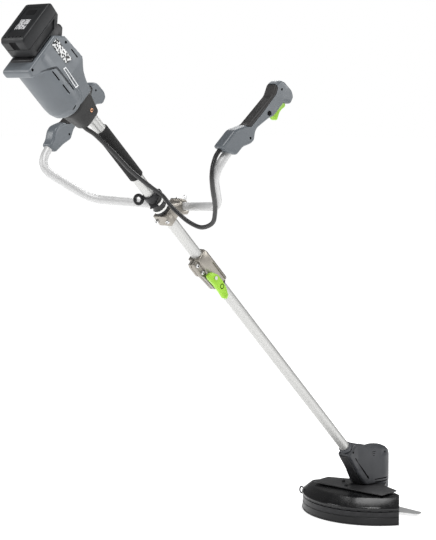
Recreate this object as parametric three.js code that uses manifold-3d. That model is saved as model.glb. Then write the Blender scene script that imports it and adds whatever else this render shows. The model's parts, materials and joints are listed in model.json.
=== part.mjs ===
// Battery brush cutter with a split shaft, bull-horn handlebar, motor in the head and a three-tooth blade.
// Millimetres. +X points forward to the cutting head, +Y to the operator's left, +Z up.
// The origin is the centre of the harness eye, from which the machine hangs.
import * as THREE from 'three';
import { mergeVertices } from 'three/addons/utils/BufferGeometryUtils.js';
import Module from 'manifold-3d';

const wasm = await Module();
wasm.setup();

// ---- driving dimensions ----
const GAP = 0.3; // clearance between touching pieces
const SHAFT_TILT = 44.2; // degrees, shaft below the horizontal with the blade level
const TUBE_R = 13; // shaft tubes, 26 mm
const TUBE_WALL = 1.5;
const EYE_N = -14; // harness eye, from the shaft axis
const EYE_TWIST = 45; // degrees that the eye's plate is turned about its arm
const EYE_Y = 29;
const UPPER_START = -345; // stations along the shaft, from the harness clamp, towards the head
const UPPER_END = 256;
const LOWER_START = 262;
const LOWER_END = 1010;
const HOUSING_REAR = -463;
const HOUSING_FRONT = -304;
const HOUSING_HALF_WIDTH = 42;
const HOUSING_TOP = 46;
const DRUM_R = 42; // round lower body and its axis height
const DRUM_N = -29;
const LIP_BOTTOM = -79;
const SHELL = 2.6; // moulded wall thickness
const BATTERY_REAR = -514;
const BATTERY_FRONT = -465;
const BATTERY_TOP = 68;
const BATTERY_BOTTOM = -42;
const BATTERY_HALF_WIDTH = 36;
const BOOT_END = -252;
const SLEEVE_START = -211;
const SLEEVE_END = -63;
const SLEEVE_R = 16.5;
const RUBBER_START = 9;
const RUBBER_END = 51;
const CLAMP_START = 52;
const CLAMP_END = 82;
const BAR_STATION = 83; // handlebar centre: station and height over the shaft axis
const BAR_N = 41.6;
const BAR_R = 9.5;
const BAR_WALL = 1.5;
const BAR_END_IN_GRIP = 48;
const GRIP_LEAN = 43.3; // degrees, grip axis over the horizontal
const GRIP_SPLAY = 4.5; // degrees, grips opening outwards
const GRIP_HALF = 14; // half the grip's thickness
const GRIP_ENTRY = [-139.4, 275, 130.1]; // where the bar enters a grip, from the handlebar centre
const COUPLER_START = 203;
const COUPLER_END = 306;
const LEVER_STATION = 267; // the release lever's pivot
const LEVER_N = -15;
const COUPLER_R = 18.5;
const SPINDLE_STATION = 1189; // spindle axis at the guard's rim plane
const SPINDLE_N = -45;
const GUARD_R = 187;
const SKIRT_HEIGHT = 40;
const MOTOR_R = 40;
const MOTOR_BASE = 74;
const MOTOR_TOP = 170;
const BLADE_R = 146;
const BLADE_Z = 6;
const BLADE_THICKNESS = 1.8;

const rad = THREE.MathUtils.degToRad;

// ---- materials ----
const look = (color, roughness, metalness = 0) => new THREE.MeshStandardMaterial({ color, roughness, metalness });
const greyPlastic = look(0x6b6f73, 0.55);
const darkPlastic = look(0x232425, 0.5);
const charcoal = look(0x35363a, 0.55);
const headPlastic = look(0x4a4c50, 0.5);
const blackRubber = look(0x141414, 0.85);
const softPad = look(0x3a3838, 0.8);
const greenPlastic = look(0x7ab51d, 0.4);
const silverTube = look(0xd3d4d0, 0.35, 0.8);
const castAlloy = look(0xa39b90, 0.45, 0.8);
const steel = look(0xb8bbbf, 0.3, 1);
const copperScrew = look(0xa86f4c, 0.35, 1);
const whiteNylon = look(0xf0f0ee, 0.5);
const copperWire = look(0xb06a35, 0.4, 0.8);
const boardGreen = look(0x1f5a34, 0.6);

// ---- solids ----
// Merges a geometry's shared corners, drops collapsed triangles and turns its faces outwards.
function clean(geometry) {
  let g = geometry.clone();
  g.deleteAttribute('normal');
  g.deleteAttribute('uv');
  g = mergeVertices(g, 1e-3);
  const index = g.getIndex().array;
  const kept = [];
  for (let i = 0; i < index.length; i += 3) {
    const [a, b, c] = [index[i], index[i + 1], index[i + 2]];
    if (a !== b && b !== c && c !== a) kept.push(a, b, c);
  }
  const at = (i) => new THREE.Vector3().fromBufferAttribute(g.getAttribute('position'), i);
  let volume = 0;
  for (let i = 0; i < kept.length; i += 3) {
    volume += at(kept[i]).dot(at(kept[i + 1]).cross(at(kept[i + 2])));
  }
  if (volume < 0) {
    for (let i = 0; i < kept.length; i += 3) [kept[i], kept[i + 1]] = [kept[i + 1], kept[i]];
  }
  g.setIndex(kept);
  return g;
}

function solid(geometry) {
  const g = clean(geometry);
  const vertProperties = new Float32Array(g.getAttribute('position').array);
  const triVerts = new Uint32Array(g.getIndex().array);
  return new wasm.Manifold(new wasm.Mesh({ numProp: 3, vertProperties, triVerts }));
}

function geometryOf(body) {
  const m = body.getMesh();
  const g = new THREE.BufferGeometry();
  g.setAttribute('position', new THREE.BufferAttribute(new Float32Array(m.vertProperties), 3));
  g.setIndex(new THREE.BufferAttribute(new Uint32Array(m.triVerts), 1));
  return g;
}

const cut = (body, ...tools) => tools.reduce((b, t) => b.subtract(t), body);
const join = (body, ...others) => others.reduce((b, o) => b.add(o), body);

function mesh(group, name, shape, material) {
  const geometry = shape instanceof THREE.BufferGeometry ? clean(shape) : geometryOf(shape);
  geometry.computeVertexNormals();
  const m = new THREE.Mesh(geometry, material);
  m.name = name;
  group.add(m);
  return m;
}

// ---- plain shapes ----
const box = (x0, x1, y0, y1, z0, z1) =>
  new THREE.BoxGeometry(x1 - x0, y1 - y0, z1 - z0).translate((x0 + x1) / 2, (y0 + y1) / 2, (z0 + z1) / 2);

// A closed outline of [radius, height] turned about the height axis, which is then laid along X or Z.
function turned(outline, segments, along = 'z') {
  const points = outline.map(([r, h]) => new THREE.Vector2(r, h));
  const g = new THREE.LatheGeometry(points, segments).rotateX(Math.PI / 2);
  return along === 'x' ? g.rotateY(Math.PI / 2) : g;
}

const rod = (a, b, r, segments = 20, along = 'x') =>
  turned([[0, a], [r, a], [r, b], [0, b]], segments, along);
const ring = (a, b, outer, inner, segments = 24, along = 'x') =>
  turned([[inner, a], [outer, a], [outer, b], [inner, b], [inner, a]], segments, along);
const rodY = (a, b, r, segments = 16) => rod(a, b, r, segments, 'z').rotateX(-Math.PI / 2);

function outlineShape(points) {
  return new THREE.Shape(points.map(([x, y]) => new THREE.Vector2(x, y)));
}

// An outline in the X-Z plane, given depth along Y and a rounded rim.
function slabXZ(points, y0, y1, rim = 0) {
  const g = new THREE.ExtrudeGeometry(outlineShape(points), {
    depth: y1 - y0 - 2 * rim,
    bevelEnabled: rim > 0,
    bevelSize: rim,
    bevelOffset: -rim,
    bevelThickness: rim,
    bevelSegments: 2,
    steps: 1,
  });
  return g.rotateX(Math.PI / 2).translate(0, y1 - rim, 0);
}

// An outline in the X-Y plane, given height along Z.
function slabXY(points, z0, z1) {
  return new THREE.ExtrudeGeometry(outlineShape(points), { depth: z1 - z0, bevelEnabled: false }).translate(0, 0, z0);
}

// A round section carried along a path, hollow where a bore radius is given.
function pipe(path, radius, steps, sides = 12, bore = 0) {
  const shape = new THREE.Shape();
  for (let i = 0; i < sides; i += 1) {
    const a = (2 * Math.PI * i) / sides;
    if (i === 0) shape.moveTo(radius, 0);
    else shape.lineTo(radius * Math.cos(a), radius * Math.sin(a));
  }
  if (bore > 0) {
    const hole = new THREE.Path();
    for (let i = 0; i < 6; i += 1) {
      const a = (-2 * Math.PI * i) / 6;
      if (i === 0) hole.moveTo(bore, 0);
      else hole.lineTo(bore * Math.cos(a), bore * Math.sin(a));
    }
    hole.closePath();
    shape.holes.push(hole);
  }
  shape.closePath();
  return new THREE.ExtrudeGeometry(shape, { steps, extrudePath: path, bevelEnabled: false });
}

// Straight runs joined by smooth bends that start `bend` before each corner.
function bentPath(corners, bends) {
  const path = new THREE.CurvePath();
  let from = corners[0];
  for (let i = 1; i < corners.length - 1; i += 1) {
    const corner = corners[i];
    const back = corners[i - 1].clone().sub(corner).setLength(bends[i - 1]).add(corner);
    const ahead = corners[i + 1].clone().sub(corner).setLength(bends[i - 1]).add(corner);
    path.add(new THREE.LineCurve3(from, back));
    path.add(new THREE.QuadraticBezierCurve3(back, corner, ahead));
    from = ahead;
  }
  path.add(new THREE.LineCurve3(from, corners[corners.length - 1]));
  return path;
}

const V = (x, y, z) => new THREE.Vector3(x, y, z);

// ---- frames ----
const cutter = new THREE.Group();
cutter.name = 'brush_cutter';

// Shaft frame: X is the station along the shaft, Z the side that faces up and forward.
const shaft = new THREE.Group();
shaft.rotation.y = rad(SHAFT_TILT);
shaft.position.copy(V(0, -EYE_Y, -EYE_N).applyMatrix4(new THREE.Matrix4().makeRotationY(rad(SHAFT_TILT))));
cutter.add(shaft);
shaft.updateMatrix();

// Head frame: upright, on the spindle axis, at the guard's rim plane.
const head = new THREE.Group();
head.position.copy(V(SPINDLE_STATION, 0, SPINDLE_N).applyMatrix4(shaft.matrix));
cutter.add(head);
head.updateMatrix();
const shaftToHead = head.matrix.clone().invert().multiply(shaft.matrix);

// Handlebar frame: upright, at the middle of the handlebar.
const bars = new THREE.Group();
bars.position.copy(V(BAR_STATION, 0, BAR_N).applyMatrix4(shaft.matrix));
cutter.add(bars);
bars.updateMatrix();

// Grip frames: X runs up the grip from where the bar enters, Z points to the palm.
function gripGroup(side) {
  const g = new THREE.Group();
  g.rotation.order = 'ZYX';
  g.rotation.set(0, -rad(GRIP_LEAN), side * rad(GRIP_SPLAY));
  g.position.set(GRIP_ENTRY[0], side * GRIP_ENTRY[1], GRIP_ENTRY[2]);
  bars.add(g);
  g.updateMatrix();
  return g;
}

const leftGrip = gripGroup(1);
const rightGrip = gripGroup(-1);
const gripToShaft = shaft.matrix.clone().invert().multiply(bars.matrix).multiply(rightGrip.matrix);

// ---- shaft tubes ----
function buildTubes() {
  mesh(shaft, 'upper_tube', ring(UPPER_START, UPPER_END, TUBE_R, TUBE_R - TUBE_WALL, 24), silverTube);
  mesh(shaft, 'lower_tube', ring(LOWER_START, LOWER_END, TUBE_R, TUBE_R - TUBE_WALL, 24), silverTube);
  mesh(shaft, 'foam_sleeve', ring(SLEEVE_START, SLEEVE_END, SLEEVE_R, TUBE_R + GAP, 24), blackRubber);
  mesh(shaft, 'rubber_sleeve', ring(RUBBER_START, RUBBER_END, TUBE_R + 2.6, TUBE_R + GAP, 24), blackRubber);
  [21, 40].forEach((station, i) => {
    const strap = ring(station - 2.4, station + 2.4, TUBE_R + 4.4, TUBE_R + 2.6 + GAP, 24);
    const buckle = box(station - 3.2, station + 3.2, 3, 10, TUBE_R + 3, TUBE_R + 8);
    mesh(shaft, `cable_tie_${i + 1}`, join(solid(strap), solid(buckle)), whiteNylon);
  });
}

// ---- rear housing ----
// The upper body is a squared block with a sloping shoulder, seen from the side and from above.
function upperBody(inset) {
  const r = HOUSING_REAR + inset;
  const t = HOUSING_TOP - inset;
  const side = [
    [r, -44], [r, 26], [r + 22, t], [-376, t + 1], [-366, t - 5], [-350, t - 11], [-330, t - 16],
    [HOUSING_FRONT - inset, t - 19], [HOUSING_FRONT - inset, -30], [-380, -44],
  ];
  const half = [[r, 0], [-374, 0], [-362, 5], [-350, 10], [-330, 14], [HOUSING_FRONT - inset, 17]];
  const plan = half.map(([x, narrowing]) => [x, HOUSING_HALF_WIDTH - inset - narrowing]);
  const mirrored = plan.map(([x, y]) => [x, -y]).reverse();
  const body = solid(slabXZ(side, -HOUSING_HALF_WIDTH, HOUSING_HALF_WIDTH));
  const section = new THREE.Shape();
  const w = HOUSING_HALF_WIDTH - inset;
  section.moveTo(-w, -50);
  section.lineTo(w, -50);
  section.lineTo(w, t - 7);
  section.quadraticCurveTo(w, t + 1, w - 8, t + 1);
  section.lineTo(-w + 8, t + 1);
  section.quadraticCurveTo(-w, t + 1, -w, t - 7);
  section.closePath();
  const along = new THREE.ExtrudeGeometry(section, { depth: 250, bevelEnabled: false, curveSegments: 3 });
  along.rotateX(Math.PI / 2).rotateZ(Math.PI / 2).translate(HOUSING_REAR - 40, 0, 0);
  return body.intersect(solid(slabXY([...plan, ...mirrored], -90, 90))).intersect(solid(along));
}

// The lower body is a drum that holds the controller, closed by a rounded front end.
function lowerDrum(inset) {
  const r = DRUM_R - inset;
  const front = HOUSING_FRONT - inset;
  const outline = [
    [0, HOUSING_REAR + inset], [r, HOUSING_REAR + inset], [r, front - 36], [r - 4, front - 18], [r - 12, front - 6],
    [r - 22, front], [0, front],
  ];
  return solid(turned(outline, 40, 'x').translate(0, 0, DRUM_N));
}

// The rear face carries on down as a squared lip below the battery.
function rearLip(inset) {
  const w = 37 - inset;
  const plate = slabXZ([
    [HOUSING_REAR + inset, -30], [HOUSING_REAR + inset, LIP_BOTTOM + 5 + inset], [HOUSING_REAR + 4 + inset, LIP_BOTTOM + inset],
    [HOUSING_REAR + 18 - inset, LIP_BOTTOM + inset], [HOUSING_REAR + 20 - inset, LIP_BOTTOM + 5], [HOUSING_REAR + 20 - inset, -30],
  ], -w, w);
  const corners = slabXY([[-30, -w], [LIP_BOTTOM + 9, -w], [LIP_BOTTOM + inset, -w + 10], [LIP_BOTTOM + inset, w - 10],
    [LIP_BOTTOM + 9, w], [-30, w]], HOUSING_REAR - 5, HOUSING_REAR + 40);
  return solid(plate).intersect(solid(corners.applyMatrix4(new THREE.Matrix4().set(
    0, 0, 1, 0, 0, 1, 0, 0, 1, 0, 0, 0, 0, 0, 0, 1))));
}

function housingSolid(inset) {
  return join(upperBody(inset), lowerDrum(inset), rearLip(inset));
}

function buildHousing() {
  const socketHole = solid(box(HOUSING_REAR - 30, -450, -31, 31, -46.5, 60));
  const tubeHole = solid(rod(-350, -280, TUBE_R + GAP, 24));
  const vents = [];
  for (let i = 0; i < 2; i += 1) vents.push(solid(box(-405 + 38 * i, -380 + 38 * i, -60, 60, -34, -31.5)));
  const hollow = cut(housingSolid(0), housingSolid(SHELL), socketHole, tubeHole, solid(bootCablePath(5.4)), ...vents);
  const leftSide = solid(box(-600, 0, GAP / 2, 100, -200, 200));
  const rightSide = solid(box(-600, 0, -100, -GAP / 2, -200, 200));
  mesh(shaft, 'housing_left', hollow.intersect(leftSide), greyPlastic);
  mesh(shaft, 'housing_right', hollow.intersect(rightSide), greyPlastic);

  // The socket's floor and two lipped rails hold the battery's tongue.
  const socketPlan = [
    [-464.4, -30.5], [-464.4, -18.6], [-460.8, -18.6], [-460.8, -24.6], [-455.6, -24.6], [-455.6, 24.6],
    [-460.8, 24.6], [-460.8, 18.6], [-464.4, 18.6], [-464.4, 30.5], [-451, 30.5], [-451, -30.5],
  ];
  const stop = solid(box(-464.4, -451, -30.5, 30.5, -46, -40.4));
  mesh(shaft, 'battery_socket', join(solid(slabXY(socketPlan, -40.5, 54)), stop), darkPlastic);
  mesh(shaft, 'terminal_block', solid(box(-450.7, -440, -14, 14, -38, -20)), darkPlastic);
  mesh(shaft, 'controller_board', solid(box(-436, -352, -30, 30, -48, -46)), boardGreen);
  mesh(shaft, 'controller_heat_sink', solid(box(-432, -356, -26, 26, -45.7, -36)), castAlloy);

  // The boot tapers from the housing's front to the tube, with the cable leaving below the tube.
  const taper = new THREE.CylinderGeometry(0.7, 1, BOOT_END - HOUSING_FRONT - GAP, 24).rotateZ(-Math.PI / 2);
  taper.scale(1, 27, 39).translate((BOOT_END + HOUSING_FRONT + GAP) / 2, 0, -10);
  const screwWell = [solid(rodY(-60, -18.2, 3.4)), solid(rodY(-60, -20, 5.2))];
  const boot = cut(solid(taper), solid(rod(-330, -240, TUBE_R + GAP, 24)), solid(bootCablePath(5.4)),
    ...screwWell.map((well) => well.translate(-272, 0, -2)));
  mesh(shaft, 'neck_boot', boot, blackRubber);
  const screw = join(solid(rodY(-20.5, -18.6, 3)), solid(rodY(-23.6, -20.4, 4.6)));
  mesh(shaft, 'boot_screw', cut(screw, solid(rodY(-26, -22.2, 2, 6))).translate([-272, 0, -2]), copperScrew);
}

// ---- control cable, from the boot to the right grip ----
const CABLE_R = 4.8;
// Route in the shaft frame: station, sideways, height over the shaft axis.
const cableRoute = [
  V(-312, -3, -31), V(-290, -4, -32), V(-268, -6, -34), V(-246, -9, -32), V(-224, -13, -27), V(-174, -19, -23),
  V(-136, -22, -20.5), V(-107, -24, -19), V(-70, -27, -13), V(-33, -29, -5), V(2, -33, 2), V(26, -45, -5),
  V(46, -65, -13), V(58, -90, -22), V(63, -124, -30), V(56, -153, -31), V(42, -177, -29), V(17, -197, -27),
  V(-7, -214, -28), V(-31, -230, -31), V(-59, -247, -34), V(-86, -262, -34), V(-106, -270, -28), V(-117, -271, -15),
  V(-123, -270, 1),
];
// The route ends inside the right grip: along it, sideways, towards the palm.
const cableTail = [V(-23, 3, 17.5), V(-8, 1, 18.5), V(8, 0, 19)];


const cableCurve = new THREE.CatmullRomCurve3(
  [...cableRoute, ...cableTail.map((point) => point.applyMatrix4(gripToShaft))]);

// The cable's first stretch, as a bore through the housing's front and the boot.
function bootCablePath(radius) {
  const points = [0, 0.02, 0.04, 0.06, 0.08, 0.1, 0.12, 0.14].map((t) => cableCurve.getPointAt(t));
  points.unshift(V(-345, -3, -31));
  return pipe(new THREE.CatmullRomCurve3(points), radius, 14, 10);
}

function buildCable() {
  mesh(shaft, 'control_cable', pipe(cableCurve, CABLE_R, 52, 7), blackRubber);
}

// ---- battery ----
function batteryOutline(inset) {
  const [r, f, t, b] = [BATTERY_REAR + inset, BATTERY_FRONT - inset, BATTERY_TOP - inset, BATTERY_BOTTOM + inset];
  return [[r, b + 7], [r + 6, b], [f, b], [f, t - 20], [f - 18, t], [r + 5, t - 1], [r, t - 6]];
}

function buildBattery() {
  const w = BATTERY_HALF_WIDTH;
  const whole = solid(slabXZ(batteryOutline(0), -w, w, 4));
  const inside = solid(slabXZ(batteryOutline(SHELL), -w + SHELL, w - SHELL, 3));
  const shell = cut(whole, inside);
  const seam = -487;
  const rearSide = solid(box(-600, seam - GAP / 2, -80, 80, -100, 100));
  const frontSide = solid(box(seam + GAP / 2, -400, -80, 80, -100, 100));
  const label = solid(box(-520, BATTERY_REAR + 0.8, -22, 22, -22, 46));
  mesh(shaft, 'battery_cover', cut(shell.intersect(rearSide), label), charcoal);
  const tonguePlan = [
    [-465.2, -18], [-460.2, -18], [-460.2, -24], [-456.3, -24], [-456.3, 24], [-460.2, 24], [-460.2, 18],
    [-465.2, 18],
  ];
  const pocket = solid(box(-478, -464, -12, 12, 44, 80));
  const base = join(shell.intersect(frontSide), solid(slabXY(tonguePlan, -40, 46)));
  mesh(shaft, 'battery_base', cut(base, pocket), charcoal);
  mesh(shaft, 'battery_latch', box(-476.8, -465.6, -11, 11, 47, 63), darkPlastic);
  mesh(shaft, 'cell_pack', box(-508, -480, -31, 31, -35, 42), blackRubber);
}

// ---- harness clamp ----
function buildHarnessClamp() {
  const width = 14;
  const collar = solid(ring(-width / 2, width / 2, TUBE_R + 5, TUBE_R + GAP, 24));
  const reach = Math.hypot(EYE_Y, EYE_N);
  const twist = [0, -EYE_TWIST, 0];
  const arm = solid(box(-3, 3, TUBE_R + 2, reach, -9, 9)).rotate(twist);
  const loop = solid(rod(-3, 3, 12.5, 24).translate(0, reach, 0)).rotate(twist);
  const eye = solid(rod(-20, 20, 6.2, 20).translate(0, reach, 0)).rotate(twist);
  const ears = solid(box(-width / 2, width / 2, -TUBE_R - 12, -TUBE_R - 3, -6, 6));
  const slit = solid(box(-20, 20, -40, -TUBE_R + 2, -1.2, 1.2));
  const screwHole = solid(rod(-20, 20, 2.6, 12, 'z').translate(0, -TUBE_R - 8.5, 0));
  const turn = -THREE.MathUtils.radToDeg(Math.atan2(-EYE_N, EYE_Y));
  const clamp = cut(join(collar, arm, loop, ears), eye, slit, screwHole, solid(rod(-20, 20, TUBE_R + GAP, 24)));
  mesh(shaft, 'harness_clamp', clamp.rotate([turn, 0, 0]), darkPlastic);
}

// ---- handlebar clamp ----
function buildHandleClamp() {
  const mid = (CLAMP_START + CLAMP_END) / 2;
  const block = slabXZ(
    [[CLAMP_START, -18], [CLAMP_END, -18], [CLAMP_END, 15], [BAR_STATION + 19, BAR_N - 8], [BAR_STATION + 19, BAR_N - GAP],
      [BAR_STATION - 19, BAR_N - GAP], [BAR_STATION - 19, BAR_N - 8], [CLAMP_START, 19]], -20, 20, 2);
  const tubeBore = solid(rod(0, 200, TUBE_R + GAP, 24));
  const barBore = solid(rodY(-60, 60, BAR_R + GAP, 24).translate(BAR_STATION, 0, BAR_N));
  const bolts = [-1, 1].map((side) => solid(rod(-40, 30, 2.9, 12, 'z').translate(mid, side * 16.6, 0)));
  const knobBolt = solid(rod(0, 90, 2.9, 12, 'z').translate(BAR_STATION + 14.6, 0, 0));
  const body = cut(solid(block), tubeBore, barBore, ...bolts, knobBolt);
  const above = solid(box(0, 200, -60, 60, GAP / 2, 90));
  const below = solid(box(0, 200, -60, 60, -60, -GAP / 2));
  mesh(shaft, 'handle_clamp_upper', body.intersect(above), castAlloy);
  mesh(shaft, 'handle_clamp_lower', body.intersect(below), castAlloy);
  const bolt = join(solid(rod(-18.5, 12, 2.5, 12, 'z')), solid(rod(-23, -18.3, 4.6, 12, 'z')));
  mesh(shaft, 'clamp_bolt', bolt.translate([mid, -16.6, 0]), steel);
  const capBlock = slabXZ(
    [[BAR_STATION - 19, BAR_N + GAP], [BAR_STATION + 20, BAR_N + GAP], [BAR_STATION + 20, BAR_N + 7],
      [BAR_STATION + 9, BAR_N + 7], [BAR_STATION + 6, BAR_N + 14], [BAR_STATION - 6, BAR_N + 14],
      [BAR_STATION - 12, BAR_N + 10], [BAR_STATION - 19, BAR_N + 7]], -17, 17, 0);
  mesh(shaft, 'handle_clamp_cap', cut(solid(capBlock), barBore, knobBolt), castAlloy);
  const stem = solid(rod(BAR_N - 18, BAR_N + 22, 2.5, 12, 'z'));
  const hub = solid(rod(BAR_N + 7.4, BAR_N + 16, 5.5, 16, 'z'));
  const wings = solid(slabXZ([[-4, 12], [4, 12], [16, 20], [18, 30], [10, 29], [3, 20], [-3, 20], [-10, 29], [-18, 30],
    [-16, 20]], -1.9, 1.9, 0).translate(0, 0, BAR_N));
  mesh(shaft, 'wing_knob', join(stem, hub, wings).translate([BAR_STATION + 14.6, 0, 0]), steel);
}

// ---- handlebar ----
function buildHandlebar() {
  const halves = [leftGrip, rightGrip].map((grip, i) => {
    const side = i === 0 ? 1 : -1;
    return [V(-85.5, side * 198, 12), V(-176.5, side * 268, 84.6), V(-15, 0, 0).applyMatrix4(grip.matrix),
      V(BAR_END_IN_GRIP, 0, 0).applyMatrix4(grip.matrix)];
  });
  const [left, right] = halves;
  const corners = [...left.reverse(), V(0, 38, 0), V(0, -38, 0), ...right];
  const path = bentPath(corners, [12, 34, 34, 15, 15, 34, 34, 12]);
  mesh(bars, 'handlebar', pipe(path, BAR_R, 44, 10, BAR_R - BAR_WALL), silverTube);
}

// ---- grips ----
const GRIP_HEAD = [[162, 6], [187, 16], [202, 13], [210, 3], [214, -28], [208, -42], [190, -46]];

function leftOutline(inset) {
  return insetOutline([[-8, 11], [9, 14], [28, 25], [42, 26], [62, 16], [72, 10], ...GRIP_HEAD, [176, -33], [140, -24],
    [98, -17], [74, -19], [54, -28], [27, -19], [-4, -14]], inset);
}

function rightOutline(inset) {
  return insetOutline([[-15, 30], [36, 29], [60, 16], [72, 10], ...GRIP_HEAD, [181, -30], [138, -30], [124, -23],
    [86, -14], [76, -16], [62, -27], [50, -25], [30, -14], [5, -13.5], [-9, 8]], inset);
}

// Moves every corner of an outline inwards along the mean of its two edges' normals.
function insetOutline(points, inset) {
  if (inset === 0) return points;
  const area = THREE.ShapeUtils.area(points.map(([x, y]) => new THREE.Vector2(x, y)));
  const turn = area > 0 ? 1 : -1;
  return points.map(([x, y], i) => {
    const [px, py] = points[(i + points.length - 1) % points.length];
    const [nx, ny] = points[(i + 1) % points.length];
    const a = new THREE.Vector2(x - px, y - py).normalize();
    const b = new THREE.Vector2(nx - x, ny - y).normalize();
    const m = a.add(b).normalize();
    return [x - turn * m.y * inset, y + turn * m.x * inset];
  });
}

function gripShells(group, prefix, outline, extraCuts) {
  const outer = solid(slabXZ(outline(0), -GRIP_HALF, GRIP_HALF, 5));
  const inner = solid(slabXZ(outline(3), -GRIP_HALF + 3, GRIP_HALF - 3, 2));
  const bore = solid(rod(-40, BAR_END_IN_GRIP + 3, BAR_R + GAP, 20));
  const socket = solid(rod(-3, 30, BAR_R + 3.5, 20)).intersect(outer);
  const padBed = solid(box(62, 190, -GRIP_HALF, GRIP_HALF, PAD_BASE - 3, PAD_BASE)).intersect(outer);
  const padPocket = solid(slabXZ(padOutline, -GRIP_HALF - 2, GRIP_HALF + 2, 0));
  const whole = cut(join(cut(outer, inner), socket, padBed), bore, padPocket, ...extraCuts);
  const left = solid(box(-60, 260, GAP / 2, 60, -80, 80));
  const right = solid(box(-60, 260, -60, -GAP / 2, -80, 80));
  mesh(group, `${prefix}_grip_left_shell`, whole.intersect(left), greyPlastic);
  mesh(group, `${prefix}_grip_right_shell`, whole.intersect(right), greyPlastic);
}

// The soft palm pad fills a pocket along the back of each grip.
const PAD_BASE = -2;
const padOutline = [[66, 30], [66, 4], [76, PAD_BASE], [174, PAD_BASE], [184, 4], [184, 30]];

function palmPad(group, name, outline) {
  const body = solid(slabXZ(outline(0), -GRIP_HALF, GRIP_HALF, 5));
  mesh(group, name, body.intersect(solid(slabXZ(insetOutline(padOutline, GAP), -60, 60, 0))), softPad);
}

function buildGrips() {
  gripShells(leftGrip, 'left', leftOutline, []);
  palmPad(leftGrip, 'left_palm_pad', leftOutline);

  const triggerSlot = solid(box(136, 184, -8.8, 8.8, -60, -24));
  const buttonHole = solid(rodY(-40, 0, 5.5, 16).translate(131, 0, -15));
  const last = [0.92, 0.94, 0.96, 0.98, 1].map((t) => cableCurve.getPointAt(t).applyMatrix4(gripToShaft.clone().invert()));
  const cableHole = solid(pipe(new THREE.CatmullRomCurve3([...last, V(14, 0, 19)]), 5.9, 12, 10));
  gripShells(rightGrip, 'right', rightOutline, [triggerSlot, buttonHole, cableHole]);
  palmPad(rightGrip, 'right_palm_pad', rightOutline);

  // The trigger turns about its pin at the grip's head end.
  const pinX = 176;
  const pinZ = -23;
  const blade = slabXZ([[140, -21], [181, -18], [182, -38], [176, -40], [164, -38], [154, -40], [146, -44], [141, -42]],
    -8, 8, 1.5);
  const pinHole = solid(rodY(-12, 12, 1.8, 12).translate(pinX, 0, pinZ));
  mesh(rightGrip, 'trigger', cut(solid(blade), pinHole), greenPlastic);
  mesh(rightGrip, 'trigger_pin', rodY(-10.6, 10.6, 1.5, 12).translate(pinX, 0, pinZ), steel);
  mesh(rightGrip, 'trigger_spring', ring(-19.4, -14.1, 3, 2, 10, 'z').translate(149, 0, 0), steel);
  mesh(rightGrip, 'speed_switch', box(142, 172, -8, 8, -13.7, -5.6), darkPlastic);
  const button = join(solid(rodY(-17.5, -10, 5, 16)), solid(rodY(-10.6, -8.8, 5.9, 16)));
  mesh(rightGrip, 'lock_button', button.translate([131, 0, -15]), darkPlastic);
}

// ---- coupler ----
function buildCoupler() {
  const barrel = slabXZ([[COUPLER_START, -17], [COUPLER_END, -19], [COUPLER_END, 17], [COUPLER_END - 6, COUPLER_R],
    [COUPLER_START + 8, COUPLER_R], [COUPLER_START, 16]], -COUPLER_R, COUPLER_R, 6);
  const flange = slabXZ([[COUPLER_START + 2, -14], [COUPLER_START + 2, -30], [COUPLER_START + 10, -33],
    [COUPLER_START + 40, -33], [COUPLER_START + 48, -28], [COUPLER_END - 30, -26], [COUPLER_END - 6, -24],
    [COUPLER_END - 6, -14]], -9, 9, 2);
  const bore = solid(rod(150, 400, TUBE_R + GAP, 24));
  const slit = solid(box(150, 400, -1, 1, -60, 0));
  const boltHoles = [COUPLER_START + 12, COUPLER_START + 37].map((s) => solid(rodY(-30, 30, 2.9, 12).translate(s, 0, -24)));
  const leverPinHole = solid(rodY(-40, -10, 2.9, 12).translate(LEVER_STATION, 0, LEVER_N));
  const pocket = solid(box(241, 340, -COUPLER_R - 10, -COUPLER_R + 3, -34, 11));
  const body = cut(join(solid(barrel), solid(flange)), bore, slit, ...boltHoles, pocket);
  const lug = solid(rodY(-COUPLER_R + 2.5, -TUBE_R - 1.5, 6.5, 16).translate(LEVER_STATION, 0, LEVER_N));
  mesh(shaft, 'coupler_body', cut(join(body, cut(lug, bore)), leverPinHole), castAlloy);
  const bolt = join(solid(rodY(-9.6, 12, 2.5, 12)), solid(rodY(-13, -9.4, 4.6, 12)));
  mesh(shaft, 'coupler_bolt', bolt.translate([COUPLER_START + 12, 0, -24]), steel);
  mesh(shaft, 'lever_pin', join(solid(rodY(-26.5, -15, 2.5, 12)), solid(rodY(-29, -26.4, 4.5, 12))).translate([LEVER_STATION, 0, LEVER_N]), steel);
  const lever = slabXZ([[246, -20], [252, -11], [268, -4], [290, -3], [312, -6], [330, -15], [333, -24], [324, -30],
    [304, -29], [275, -29], [254, -30], [246, -27]], -26, -16.2, 2);
  mesh(shaft, 'release_lever', cut(solid(lever), solid(rodY(-40, -10, 2.8, 12).translate(LEVER_STATION, 0, LEVER_N))), greenPlastic);
  mesh(shaft, 'wire_socket', ring(236, 255, TUBE_R - TUBE_WALL - GAP, 3, 20), darkPlastic);
  mesh(shaft, 'wire_plug', ring(263, 284, TUBE_R - TUBE_WALL - GAP, 3, 20), darkPlastic);
}

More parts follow.
